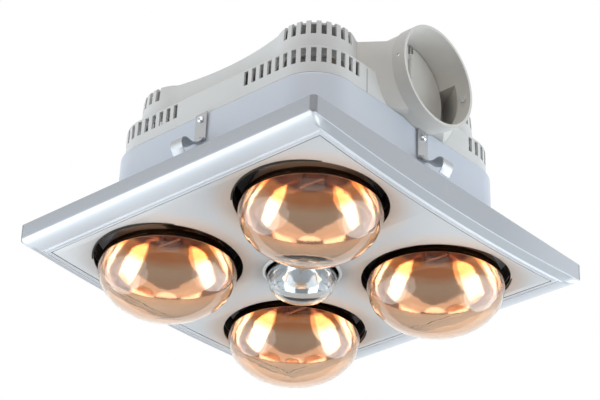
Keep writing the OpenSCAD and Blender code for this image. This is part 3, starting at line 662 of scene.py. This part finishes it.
def rounded_square(hx: float, hy: float, r: float, steps: int = 6, side: int = 20) -> list[Flat]:
    """Points round a rectangle with round corners.

    Args:
        hx: half its size along X.
        hy: half its size along Y.
        r: the corner radius.
        steps: the steps round a corner.
        side: the steps along a side.

    Returns:
        The points, anticlockwise.
    """
    corners = [(1, 1, 0), (-1, 1, 90), (-1, -1, 180), (1, -1, 270)]
    arcs: list[list[Flat]] = []
    for sx, sy, start in corners:
        angles = [math.radians(start + 90 * i / steps) for i in range(steps + 1)]
        arcs.append([(sx * (hx - r) + r * math.cos(a), sy * (hy - r) + r * math.sin(a)) for a in angles])
    made: list[Flat] = []
    for arc, following in zip(arcs, arcs[1:] + arcs[:1]):
        (ax, ay), (bx, by) = arc[-1], following[0]
        made += arc
        made += [(ax + (bx - ax) * i / side, ay + (by - ay) * i / side) for i in range(1, side)]
    return made


def curve_through(points: Sequence[Flat], steps: int) -> list[Flat]:
    """A smooth line through points in a plane.

    Args:
        points: the points, in order.
        steps: the steps between two points.

    Returns:
        The line's points.
    """
    made: list[Flat] = []
    for k in range(len(points) - 1):
        p0, p1 = points[max(0, k - 1)], points[k]
        p2, p3 = points[k + 1], points[min(len(points) - 1, k + 2)]
        for i in range(steps):
            t = i / steps
            made.append(tuple(
                0.5 * (2 * b + (c - a) * t + (2 * a - 5 * b + 4 * c - d) * t * t
                       + (3 * b - a - 3 * c + d) * t ** 3)
                for a, b, c, d in zip(p0, p1, p2, p3)))
    return made + [points[-1]]


def spun(bm: bmesh.types.BMesh, profile: Sequence[Flat], centre: Flat, steps: int = 96) -> None:
    """Turns a profile into a full revolve about an upright axis.

    Args:
        bm: the mesh.
        profile: radius and height of each point.
        centre: the axis.
        steps: the steps round.
    """
    verts = [bm.verts.new((centre[0] + r, centre[1], z)) for r, z in profile]
    edges = [bm.edges.new((a, b)) for a, b in zip(verts, verts[1:])]
    bmesh.ops.spin(bm, geom=verts + edges, cent=(*centre, 0.0), axis=(0, 0, 1), angle=math.tau,
                   steps=steps, use_merge=True)
    bmesh.ops.remove_doubles(bm, verts=bm.verts[:], dist=1e-6)


def joined(bm: bmesh.types.BMesh, part: bmesh.types.BMesh) -> None:
    """Adds one mesh to another.

    Args:
        bm: the mesh that grows.
        part: the mesh that is added, which is freed.
    """
    helper = bpy.data.meshes.new("part")
    part.to_mesh(helper)
    part.free()
    bm.from_mesh(helper)
    bpy.data.meshes.remove(helper)


def smooth_edges(bm: bmesh.types.BMesh, angle: float) -> None:
    """Shades every face smooth and marks the edges past an angle as sharp.

    Args:
        bm: the mesh.
        angle: the angle in degrees.
    """
    limit = math.radians(angle)
    for f in bm.faces:
        f.smooth = True
    for e in bm.edges:
        e.smooth = len(e.link_faces) == 2 and e.calc_face_angle(0.0) < limit


@dataclass
class Shop:
    """Turns finished meshes into pieces that ride on their bodies."""

    palette: Palette
    node_body: dict[str, str]
    count: int = 0

    def piece(self, name: str, bm: bmesh.types.BMesh, finish: Finish, body: str, nodes: Sequence[str],
              angle: float, turn: bool = True) -> bpy.types.Object:
        """Makes a piece.

        Args:
            name: its name.
            bm: its mesh, which is freed.
            finish: its finish.
            body: the body it rides on.
            nodes: the solids it stands for.
            angle: the angle past which an edge is sharp.
            turn: whether its faces are turned outwards.

        Returns:
            The piece.
        """
        if turn:
            bmesh.ops.recalc_face_normals(bm, faces=bm.faces[:])
        smooth_edges(bm, angle)
        mesh = bpy.data.meshes.new(name)
        bm.to_mesh(mesh)
        bm.free()
        piece = bpy.data.objects.new(name, mesh)
        bpy.context.scene.collection.objects.link(piece)
        piece.data.materials.append(self.palette.get(finish))
        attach(piece, body)
        if nodes:
            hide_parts(*nodes)
        self.count += 1
        LOG.info("%s rides on %s, %d faces", name, body, len(mesh.polygons))
        return piece

    def refined(self, node: str, finish: Finish, round_to: float = 0.0) -> None:
        """Makes a merged copy of a solid with smooth curves and, if asked, eased edges.

        Args:
            node: the solid's name.
            finish: its finish.
            round_to: the width of a bevel on its sharp edges, or 0.
        """
        bm = bmesh.new()
        bm.from_mesh(bpy.data.objects[node].data)
        bmesh.ops.remove_doubles(bm, verts=bm.verts[:], dist=2e-6)
        bmesh.ops.dissolve_degenerate(bm, dist=1e-6, edges=bm.edges[:])
        piece = self.piece(node + "_finished", bm, finish, self.node_body[node], [node], 30.0, turn=False)
        if round_to:
            bevel = piece.modifiers.new("eased", "BEVEL")
            bevel.width = round_to
            bevel.segments = 2
            bevel.limit_method = "ANGLE"
            bevel.angle_limit = EASED_ANGLE
            bevel.harden_normals = True

    def dress(self, node: str, finish: Finish) -> None:
        """Gives a solid, named as a node, its material."""
        solid = bpy.data.objects[node]
        solid.data.materials.clear()
        solid.data.materials.append(self.palette.get(finish))


# Sub-assemblies


@dataclass
class Fascia:
    """The crowned frame, its panel and the light ring.

    The collar and the ring are lines of radius and height pairs, the collar's above the panel's underside and
    the ring's above the crown's middle.
    """

    shop: Shop
    half_x: float = 0.1758
    half_y: float = 0.1859
    corner_r: float = 0.0045
    step: float = 0.166
    opening: float = 0.160
    inner_r: float = 0.0012
    crown_low: float = 0.0275
    crown_rise: float = 0.0068
    nose_z: float = 0.0130
    bevel_rise: float = 0.0038
    bevel_reach: float = 0.012
    wall: float = 0.0022
    turns: int = 9
    panel_lift: float = 0.0001
    panel_gap: float = 0.0007
    panel_t: float = 0.0012
    panel_ease: float = 0.0004
    lamp_hole: float = 0.0675
    light_hole: float = 0.0335
    collar_drop: float = 0.0015
    collar: tuple[Flat, ...] = ((0.0676, 0.0040), (0.0676, 0.0105), (0.0683, 0.0112), (0.0690, 0.0105),
                                (0.0690, 0.0040), (0.0676, 0.0040))
    ring: tuple[Flat, ...] = ((0.0329, 0.0030), (0.0328, -0.0002), (0.0332, -0.0010), (0.0340, -0.0013),
                              (0.0348, -0.0011), (0.0357, -0.0004), (0.0360, 0.0001), (0.0352, 0.0006),
                              (0.0336, 0.0008), (0.0334, 0.0030), (0.0329, 0.0030))

    def crown(self, y: float) -> float:
        """Level of the crowned underside at a distance y from the middle."""
        return -self.crown_low + self.crown_rise * (y / self.step) ** 2

    def profile_rings(self, inset: float) -> list[list[Point]]:
        """Rings from the rim's top edge over the nose to the step line.

        Args:
            inset: how far the surface lies behind the outer one.

        Returns:
            The rings.
        """
        half_x, half_y = self.half_x - inset, self.half_y - inset
        rim = rounded_square(half_x, half_y, self.corner_r - inset * 0.5)
        line = rounded_square(self.step, self.step, self.inner_r)
        rings: list[list[Point]] = [[(x, y, 0.0) for x, y in rim]]
        for k in range(self.turns + 1):
            angle, along = math.pi / 2 * k / self.turns, k / self.turns
            points: list[Point] = []
            for (rx, ry), (sx, sy) in zip(rim, line):
                across = min(1.0, max(0.0, (abs(ry) - half_y + self.corner_r) / self.corner_r))
                eased = across * across * (3 - 2 * across)
                nose = eased if abs(rx) < half_x - 1e-6 else across
                nose_z = -self.nose_z + inset * 0.6
                held = min(abs(ry), self.step + self.bevel_reach)
                bevel_z = self.crown(held) + self.bevel_rise + inset * 0.6
                start = nose * nose_z + (1 - nose) * min(bevel_z, nose_z)
                end = self.crown(sy) + inset
                out = math.cos(angle) * nose + (1 - along) * (1 - nose)
                fall = math.sin(angle) * nose + along * (1 - nose)
                points.append((sx + (rx - sx) * out, sy + (ry - sy) * out, start + (end - start) * fall))
            rings.append(points)
        return rings

    def build_frame(self) -> None:
        """Models the frame: rim, nose, bevels, ridge, lip and inner wall."""
        rings = self.profile_rings(0.0)
        lip = [(0.16570, -0.00020), (0.16535, 0.00000), (0.16515, 0.00075), (0.16470, 0.00085),
               (0.16445, 0.00020), (0.16400, -0.00005), (0.16120, 0.00010), (0.16060, -0.00015),
               (0.16015, 0.00025), (self.opening, 0.00090), (self.opening, 0.00320), (0.16400, 0.00340)]
        for half, lift in lip:
            rings.append([(x, y, self.crown(y) + lift) for x, y in rounded_square(half, half, self.inner_r)])
        rings += self.profile_rings(self.wall)[::-1]
        bm = bmesh.new()
        swept(bm, rings)
        self.shop.piece("fascia_frame_shell", bm, Finish.frame_paint, "fascia", ["fascia_frame"], 24.0)

    def build_panel(self) -> None:
        """Models the crowned sheet and cuts its five holes."""
        bm = bmesh.new()
        bmesh.ops.create_grid(bm, x_segments=2, y_segments=56, size=self.opening - self.panel_gap)
        for v in bm.verts:
            v.co.z = self.crown(v.co.y) + self.panel_lift
        lifted = bmesh.ops.extrude_face_region(bm, geom=bm.faces[:])
        top = [v for v in lifted["geom"] if isinstance(v, bmesh.types.BMVert)]
        bmesh.ops.translate(bm, verts=top, vec=(0, 0, self.panel_t))
        bmesh.ops.recalc_face_normals(bm, faces=bm.faces[:])
        sheet = self.temporary("panel_blank", bm)
        holes = [(x, y, self.lamp_hole) for x in (PITCH, -PITCH) for y in (PITCH, -PITCH)]
        cutters = []
        for x, y, r in holes + [(0.0, 0.0, self.light_hole)]:
            cut = bmesh.new()
            bmesh.ops.create_cone(cut, cap_ends=True, segments=128, radius1=r, radius2=r, depth=0.08,
                                  matrix=Matrix.Translation((x, y, -0.025)))
            cutters.append(self.temporary("panel_cut", cut))
            boolean = sheet.modifiers.new("hole", "BOOLEAN")
            boolean.operation = "DIFFERENCE"
            boolean.object = cutters[-1]
        bevel = sheet.modifiers.new("eased", "BEVEL")
        bevel.width = self.panel_ease
        bevel.segments = 2
        bevel.angle_limit = EASED_ANGLE
        bpy.context.view_layer.update()
        graph = bpy.context.evaluated_depsgraph_get()
        done = bmesh.new()
        done.from_mesh(bpy.data.meshes.new_from_object(sheet.evaluated_get(graph)))
        for o in [sheet, *cutters]:
            bpy.data.objects.remove(o)
        self.shop.piece("fascia_panel_sheet", done, Finish.panel_paint, "fascia", ["fascia_panel"], 30.0)

    def temporary(self, name: str, bm: bmesh.types.BMesh) -> bpy.types.Object:
        """A helper object from a mesh that is freed; it is removed before the end."""
        mesh = bpy.data.meshes.new(name)
        bm.to_mesh(mesh)
        bm.free()
        made = bpy.data.objects.new(name, mesh)
        bpy.context.scene.collection.objects.link(made)
        return made

    def build_collars(self) -> None:
        """Models the dark turned-up collars behind the lamp holes."""
        bm = bmesh.new()
        low = self.crown(PITCH) - self.collar_drop
        for x in (-PITCH, PITCH):
            for y in (-PITCH, PITCH):
                spun(bm, [(r, low + z) for r, z in self.collar], (x, y), 128)
        self.shop.piece("panel_hole_collars", bm, Finish.shield_black, "fascia", [], 40.0)

    def build_ring(self) -> None:
        """Models the white bevelled ring round the centre light."""
        bm = bmesh.new()
        spun(bm, [(r, z - self.crown_low) for r, z in self.ring], (0.0, 0.0), 96)
        self.shop.piece("light_trim_ring", bm, Finish.ring_white, "fascia", ["light_ring"], 40.0)

    def build(self) -> None:
        """Builds the whole fascia."""
        self.build_frame()
        self.build_panel()
        self.build_collars()
        self.build_ring()
        self.shop.refined("fascia_catches", Finish.sheet_steel)


@dataclass
class ReflectorLamp:
    """One reflector lamp: blown glass, mirror coat, cap and wires.

    The side is a line of radius and level pairs from the widest circle to the neck. The nodes are the glass,
    the mirror, the cap and the filament.
    """

    shop: Shop
    body: str
    nodes: Sequence[str]
    centre: Flat
    glass: Finish
    mirror: Finish
    side: Sequence[Flat]
    pole: float
    widest: Flat
    coat_from: float
    wall: float = 0.0011
    coat_front: float = 0.0002
    coat_back: float = 0.0006
    steps: int = 40
    ripple: float = 0.00045
    ripple_from: float = math.radians(54)
    ripple_turns: float = 17.5

    def points(self, inset: float) -> list[Flat]:
        """Radius and level of the outline, from the front pole to the neck.

        Args:
            inset: the distance behind the outer surface.

        Returns:
            The points.
        """
        radius, mid = self.widest
        depth = mid - self.pole
        dome: list[Flat] = []
        for k in range(self.steps + 1):
            a = math.pi / 2 * k / self.steps
            wave = math.sin((a - self.ripple_from) * self.ripple_turns) if a > self.ripple_from else 0.0
            groove = self.ripple * max(0.0, wave)
            dome.append(((radius - inset - groove) * math.sin(a),
                         mid - (depth - inset - groove) * math.cos(a)))
        return dome + [(r - inset, z) for r, z in self.side]

    def build(self) -> None:
        """Builds the lamp."""
        bm = bmesh.new()
        spun(bm, self.points(0.0) + self.points(self.wall)[::-1], self.centre)
        self.shop.piece(self.body + "_bulb", bm, self.glass, self.body, self.nodes[:1], 60.0)
        front, back = ([p for p in self.points(self.wall + depth) if p[1] > self.coat_from]
                       for depth in (self.coat_front, self.coat_back))
        bm = bmesh.new()
        spun(bm, front + back[::-1] + [front[0]], self.centre)
        self.shop.piece(self.body + "_reflector", bm, self.mirror, self.body, self.nodes[1:2], 60.0)
        self.shop.refined(self.nodes[2], Finish.cap_brass)
        self.shop.refined(self.nodes[3], Finish.filament_wire)


@dataclass
class Lamps:
    """The four heat lamps and the centre light."""

    shop: Shop
    places: tuple[Flat, ...] = ((PITCH, -PITCH), (-PITCH, -PITCH), (PITCH, PITCH), (-PITCH, PITCH))
    parts: tuple[str, ...] = ("glass", "mirror", "cap", "filament")
    lamp_side: tuple[Flat, ...] = (
        (0.0622, -0.0310), (0.0612, -0.0265), (0.0593, -0.0215), (0.0555, -0.0135), (0.0510, -0.0055),
        (0.0455, 0.0025), (0.0400, 0.0105), (0.0350, 0.0190), (0.0305, 0.0280), (0.0265, 0.0380),
        (0.0235, 0.0480), (0.0215, 0.0560), (0.0200, 0.0640), (0.0190, 0.0710))
    light_side: tuple[Flat, ...] = (
        (0.0312, -0.0310), (0.0304, -0.0275), (0.0285, -0.0230), (0.0255, -0.0170), (0.0220, -0.0105),
        (0.0185, -0.0035), (0.0158, 0.0040), (0.0140, 0.0120), (0.0131, 0.0220))

    def build(self) -> None:
        """Builds every lamp."""
        for i, place in enumerate(self.places, 1):
            ReflectorLamp(self.shop, f"lamp_{i}", [f"lamp_{i}_{part}" for part in self.parts], place,
                          Finish.lamp_glass, Finish.lamp_mirror, self.lamp_side, pole=-0.0768,
                          widest=(0.0625, -0.0340), coat_from=-0.0338).build()
        ReflectorLamp(self.shop, "centre_light", [f"light_{part}" for part in self.parts], (0.0, 0.0),
                      Finish.light_glass, Finish.light_mirror, self.light_side, pole=-0.0558,
                      widest=(0.0315, -0.0330), coat_from=-0.0335).build()


@dataclass
class Housing:
    """The two housings, the spigot with its flaps, and what is inside."""

    shop: Shop
    ease: float = 0.0003
    eased: tuple[str, ...] = ("lower_housing", "cable_gland")
    solids: dict[str, Finish] = field(default_factory=lambda: {
        "lower_housing": Finish.skirt_steel, "upper_housing": Finish.upper_shell,
        "duct_spigot": Finish.spigot_plastic, "heat_shield": Finish.shield_black,
        "cable_gland": Finish.gland_nylon, "damper_flap_left": Finish.spigot_plastic,
        "damper_flap_right": Finish.spigot_plastic, "fan_wheel": Finish.wheel_plastic,
        "spigot_screws": Finish.screw_steel, "housing_screws": Finish.screw_steel,
        "lamp_tray": Finish.sheet_steel, "fan_scroll": Finish.scroll_plastic,
        "motor_body": Finish.motor_paint, "motor_bracket": Finish.sheet_steel,
        "run_capacitor": Finish.capacitor_case, "capacitor_clip": Finish.sheet_steel,
        "terminal_block": Finish.terminal_plastic, "gland_nut": Finish.gland_nylon,
        **{f"lamp_holder_{i}": Finish.holder_ceramic for i in range(1, 5)},
        "light_holder": Finish.holder_ceramic, "light_bracket": Finish.sheet_steel,
        "damper_pin": Finish.shaft_steel, "fan_shaft": Finish.shaft_steel, "wheel_nut": Finish.nut_brass,
    })

    def build(self) -> None:
        """Builds the housing."""
        for node, finish in self.solids.items():
            self.shop.refined(node, finish, self.ease if node in self.eased else 0.0)


@dataclass
class Clips:
    """The four spring clips on the walls.

    A clip is drawn on the +X wall, with x from the wall. The leaf's path is in millimetres. The screw's head is
    a line of radius and height pairs above the plate.
    """

    shop: Shop
    wall: float = 0.1346
    width: float = 0.0135
    leaf: float = 0.0009
    leaf_ease: float = 0.00018
    bow: float = 0.0009
    bow_from: float = 0.020
    bow_run: float = 0.010
    pin_x: float = 0.0026
    hinge_z: float = 0.0478
    curl: float = 0.0022
    curl_bore: float = 0.00126
    curl_gap: float = 0.0003
    curl_steps: int = 40
    screw_z: float = 0.0700
    plate: float = 0.0011
    turns: tuple[float, ...] = (90.0, 0.0, 270.0, 180.0)
    shifts: tuple[float, ...] = (0.004, 0.004, -0.004, 0.0)
    drops: tuple[float, ...] = (0.0, 0.005, 0.0, 0.0)
    path: tuple[Flat, ...] = ((4.2, 47.8), (5.8, 44.6), (8.6, 41.6), (12.0, 39.4), (15.5, 38.2),
                              (18.6, 38.2), (21.6, 38.9), (24.6, 38.8), (27.3, 37.3), (28.9, 34.7),
                              (28.9, 31.6), (27.7, 28.5), (25.9, 25.7), (24.3, 23.2))
    head: tuple[Flat, ...] = ((0.0, 0.0009), (0.00075, 0.0009), (0.00105, 0.0026), (0.0014, 0.00272),
                              (0.0020, 0.00245), (0.0026, 0.0019), (0.0030, 0.0012), (0.0032, 0.0004),
                              (0.0032, 0.0001), (0.0015, 0.0), (0.0014, -0.0009), (0.0, -0.0009))

    def on_wall(self, i: int) -> Matrix:
        """The move that puts a clip drawn on the +X wall on its own wall."""
        turn = Matrix.Rotation(math.radians(self.turns[i]), 4, "Z")
        return turn @ Matrix.Translation((self.wall, self.shifts[i], -self.drops[i]))

    def curl_mesh(self) -> bmesh.types.BMesh:
        """The short tube that the leaf curls into, round the pin."""
        half = self.width / 4 - self.curl_gap
        turns = [math.tau * k / self.curl_steps for k in range(self.curl_steps)]
        hole, ring = ([(self.pin_x + r * math.cos(a), self.hinge_z + r * math.sin(a)) for a in turns]
                      for r in (self.curl_bore, self.curl))
        bm = bmesh.new()
        swept(bm, [[(x, y, z) for x, z in loop]
                   for loop, y in ((hole, -half), (ring, -half), (ring, half), (hole, half))])
        bmesh.ops.recalc_face_normals(bm, faces=bm.faces[:])
        return bm

    def build_arm(self, i: int) -> None:
        """Models one spring leaf with its curl round the pin and its turned-down lip.

        Args:
            i: the clip's place in the lists, from 0.
        """
        line = curve_through([(x / 1000, z / 1000) for x, z in self.path], 5)
        bm = bmesh.new()
        sides: list[list[Point]] = [[], []]
        for k, (x, z) in enumerate(line):
            ax, az = line[max(0, k - 1)]
            bx, bz = line[min(len(line) - 1, k + 1)]
            run = math.hypot(bx - ax, bz - az)
            nx, nz = -(bz - az) / run * self.leaf / 2, (bx - ax) / run * self.leaf / 2
            sides[0].append((x + nx, -self.width / 2, z + nz))
            sides[1].append((x - nx, -self.width / 2, z - nz))
        face = bm.faces.new([bm.verts.new(c) for c in sides[0] + sides[1][::-1]])
        pushed = bmesh.ops.extrude_face_region(bm, geom=[face])
        moved = [v for v in pushed["geom"] if isinstance(v, bmesh.types.BMVert)]
        bmesh.ops.translate(bm, verts=moved, vec=(0, self.width, 0))
        bmesh.ops.recalc_face_normals(bm, faces=bm.faces[:])
        sharp = [e for e in bm.edges if len(e.link_faces) == 2 and e.calc_face_angle(0.0) > math.radians(60)]
        bmesh.ops.bevel(bm, geom=sharp, offset=self.leaf_ease, segments=2, profile=0.5, affect="EDGES",
                        material=-1)
        for v in bm.verts:
            far = max(0.0, (v.co.x - self.bow_from) / self.bow_run)
            v.co.x += self.bow * min(1.0, far) * (1 - (2 * v.co.y / self.width) ** 2)
        joined(bm, self.curl_mesh())
        bmesh.ops.transform(bm, matrix=self.on_wall(i), verts=bm.verts[:])
        self.shop.piece(f"spring_leaf_{i + 1}", bm, Finish.clip_steel, f"clip_{i + 1}",
                        [f"clip_arm_{i + 1}"], 30.0)

    def build_screws(self) -> None:
        """Models the four pan-head screws, each with a driving recess."""
        bm = bmesh.new()
        flat = Matrix.Translation((self.plate, 0, self.screw_z)) @ Matrix.Rotation(math.pi / 2, 4, "Y")
        for i in range(4):
            screw = bmesh.new()
            spun(screw, self.head, (0.0, 0.0), 32)
            bmesh.ops.transform(screw, matrix=self.on_wall(i) @ flat, verts=screw.verts[:])
            joined(bm, screw)
        self.shop.piece("clip_screw_heads", bm, Finish.screw_steel, "housing", ["clip_screws"], 40.0)

    def build(self) -> None:
        """Builds the clips."""
        self.shop.refined("clip_plates", Finish.clip_steel)
        self.build_screws()
        for i in range(4):
            self.build_arm(i)


# Studio


@dataclass
class Studio:
    """Camera, lamps, floor and the white surround.

    A lamp's row holds its name, place, aim, size, power in watts and colour.
    """

    azimuth: float = 42.57
    elevation: float = -30.08
    roll: float = 2.15
    distance: float = 1.79985
    target: Point = (0.07666, -0.09004, -0.020)
    focal: float = 2106.21 / 600.0
    sensor: float = 36.0
    floor_half: float = 9.0
    floor_z: float = -3.6
    ambient: Colour = (0.80, 0.84, 0.90)
    ambient_power: float = 0.46
    lamps: tuple[tuple[str, Point, Point, Flat, float, Colour], ...] = (
        ("key_left", (-1.25, -1.35, -1.60), (0, 0, 0), (2.6, 2.2), 19.0, (0.94, 0.965, 1.0)),
        ("fill_right", (1.35, 1.40, -1.45), (0, 0, 0), (2.6, 2.2), 11.5, (0.95, 0.975, 1.0)),
        ("side_left", (-1.44, -0.98, -0.75), (0, 0, 0), (2.5, 2.5), 32.0, (0.80, 0.91, 1.0)),
        ("side_right", (1.10, 1.35, -0.75), (0, 0, 0), (2.4, 2.4), 38.0, (0.80, 0.91, 1.0)),
        ("front", (1.5, -1.63, 0.30), (0, 0, 0.05), (1.6, 1.6), 7.5, (1.0, 0.985, 0.96)),
        ("top", (0.4, -0.6, 2.0), (0, 0, 0.1), (1.6, 1.6), 10.0, (1.0, 1.0, 1.0)),
    )

    def camera(self) -> None:
        """Places the camera where the photograph was taken."""
        az, el, roll = (math.radians(a) for a in (self.azimuth, self.elevation, self.roll))
        back = Vector((math.sin(az) * math.cos(el), -math.cos(az) * math.cos(el), math.sin(el)))
        right = (-back).cross(Vector((0, 0, 1))).normalized()
        up = right.cross(-back)
        right, up = (right * math.cos(roll) + up * math.sin(roll),
                     up * math.cos(roll) - right * math.sin(roll))
        data = bpy.data.cameras.new("photograph")
        data.sensor_width = self.sensor
        data.lens = self.sensor * self.focal
        data.clip_start, data.clip_end = 0.01, 50.0
        camera = bpy.data.objects.new("photograph", data)
        turn = Matrix((right, up, back)).transposed().to_4x4()
        camera.matrix_world = Matrix.Translation(Vector(self.target) + back * self.distance) @ turn
        bpy.context.scene.collection.objects.link(camera)
        bpy.context.scene.camera = camera

    def area(self, name: str, place: Point, aim: Point, size: Flat, power: float, colour: Colour) -> None:
        """Adds a soft elliptical lamp.

        Args:
            name: its name.
            place: where it stands.
            aim: what it points at.
            size: its width and height.
            power: its power in watts.
            colour: its colour.
        """
        data = bpy.data.lights.new(name, "AREA")
        data.shape = "ELLIPSE"
        data.size, data.size_y = size
        data.energy = power
        data.color = colour
        lamp = bpy.data.objects.new(name, data)
        lamp.location = place
        lamp.rotation_mode = "QUATERNION"
        lamp.rotation_quaternion = (Vector(aim) - Vector(place)).to_track_quat("-Z", "Y")
        bpy.context.scene.collection.objects.link(lamp)

    def surround(self) -> None:
        """Makes the world: white to the camera, metal and glass, pale grey as light."""
        world = bpy.data.worlds.new("surround")
        bpy.context.scene.world = world
        world.use_nodes = True
        tree = world.node_tree
        tree.nodes.clear()
        links = tree.links
        path = tree.nodes.new("ShaderNodeLightPath")
        seen = path.outputs["Is Camera Ray"]
        for kind in ("Is Transmission Ray", "Is Glossy Ray"):
            either = tree.nodes.new("ShaderNodeMath")
            either.operation = "MAXIMUM"
            links.new(seen, either.inputs[0])
            links.new(path.outputs[kind], either.inputs[1])
            seen = either.outputs[0]
        plain = tree.nodes.new("ShaderNodeBackground")
        plain.inputs[0].default_value = (*self.ambient, 1.0)
        plain.inputs[1].default_value = self.ambient_power
        white = tree.nodes.new("ShaderNodeBackground")
        white.inputs[0].default_value = (1.0, 1.0, 1.0, 1.0)
        white.inputs[1].default_value = 1.0
        mix = tree.nodes.new("ShaderNodeMixShader")
        out = tree.nodes.new("ShaderNodeOutputWorld")
        links.new(seen, mix.inputs[0])
        links.new(plain.outputs[0], mix.inputs[1])
        links.new(white.outputs[0], mix.inputs[2])
        links.new(mix.outputs[0], out.inputs[0])

    def floor(self) -> None:
        """Lays the pale floor far below the unit."""
        bm = bmesh.new()
        bmesh.ops.create_grid(bm, x_segments=1, y_segments=1, size=self.floor_half)
        bmesh.ops.translate(bm, verts=bm.verts[:], vec=(0, 0, self.floor_z))
        mesh = bpy.data.meshes.new("floor")
        bm.to_mesh(mesh)
        bm.free()
        floor = bpy.data.objects.new("floor", mesh)
        bpy.context.scene.collection.objects.link(floor)
        g = Graph("floor_white")
        tone = g.mix(g.noise(3.0, 2.0) * 0.2, (0.86, 0.86, 0.86), (0.82, 0.82, 0.82))
        g.principled({"Base Color": tone, "Roughness": 0.8})
        floor.data.materials.append(g.material)
        floor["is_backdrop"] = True

    def build(self) -> None:
        """Builds the studio."""
        self.camera()
        self.surround()
        self.floor()
        for row in self.lamps:
            self.area(*row)
        bpy.context.scene.view_settings.view_transform = "Standard"


def main(record: dict[str, Any], box: tuple[Vector, Vector]) -> None:
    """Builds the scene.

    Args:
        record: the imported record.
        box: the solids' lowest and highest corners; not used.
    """
    logging.basicConfig(level=logging.INFO, format="%(message)s")
    bodies = {n: b for b, ns in record["behaviour"]["bodies"].items() for n in ns}
    slots = {s["node"]: s["material_slot"] for s in record["subparts"]}
    shop = Shop(Palette(), bodies)
    for assembly in (Studio(), Fascia(shop), Lamps(shop), Housing(shop), Clips(shop)):
        assembly.build()
    for node, slot in slots.items():
        shop.dress(node, Finish[slot])
    LOG.info("%d pieces", shop.count)


if __name__ == "__main__":
    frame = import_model()
    main(frame["record"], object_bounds())
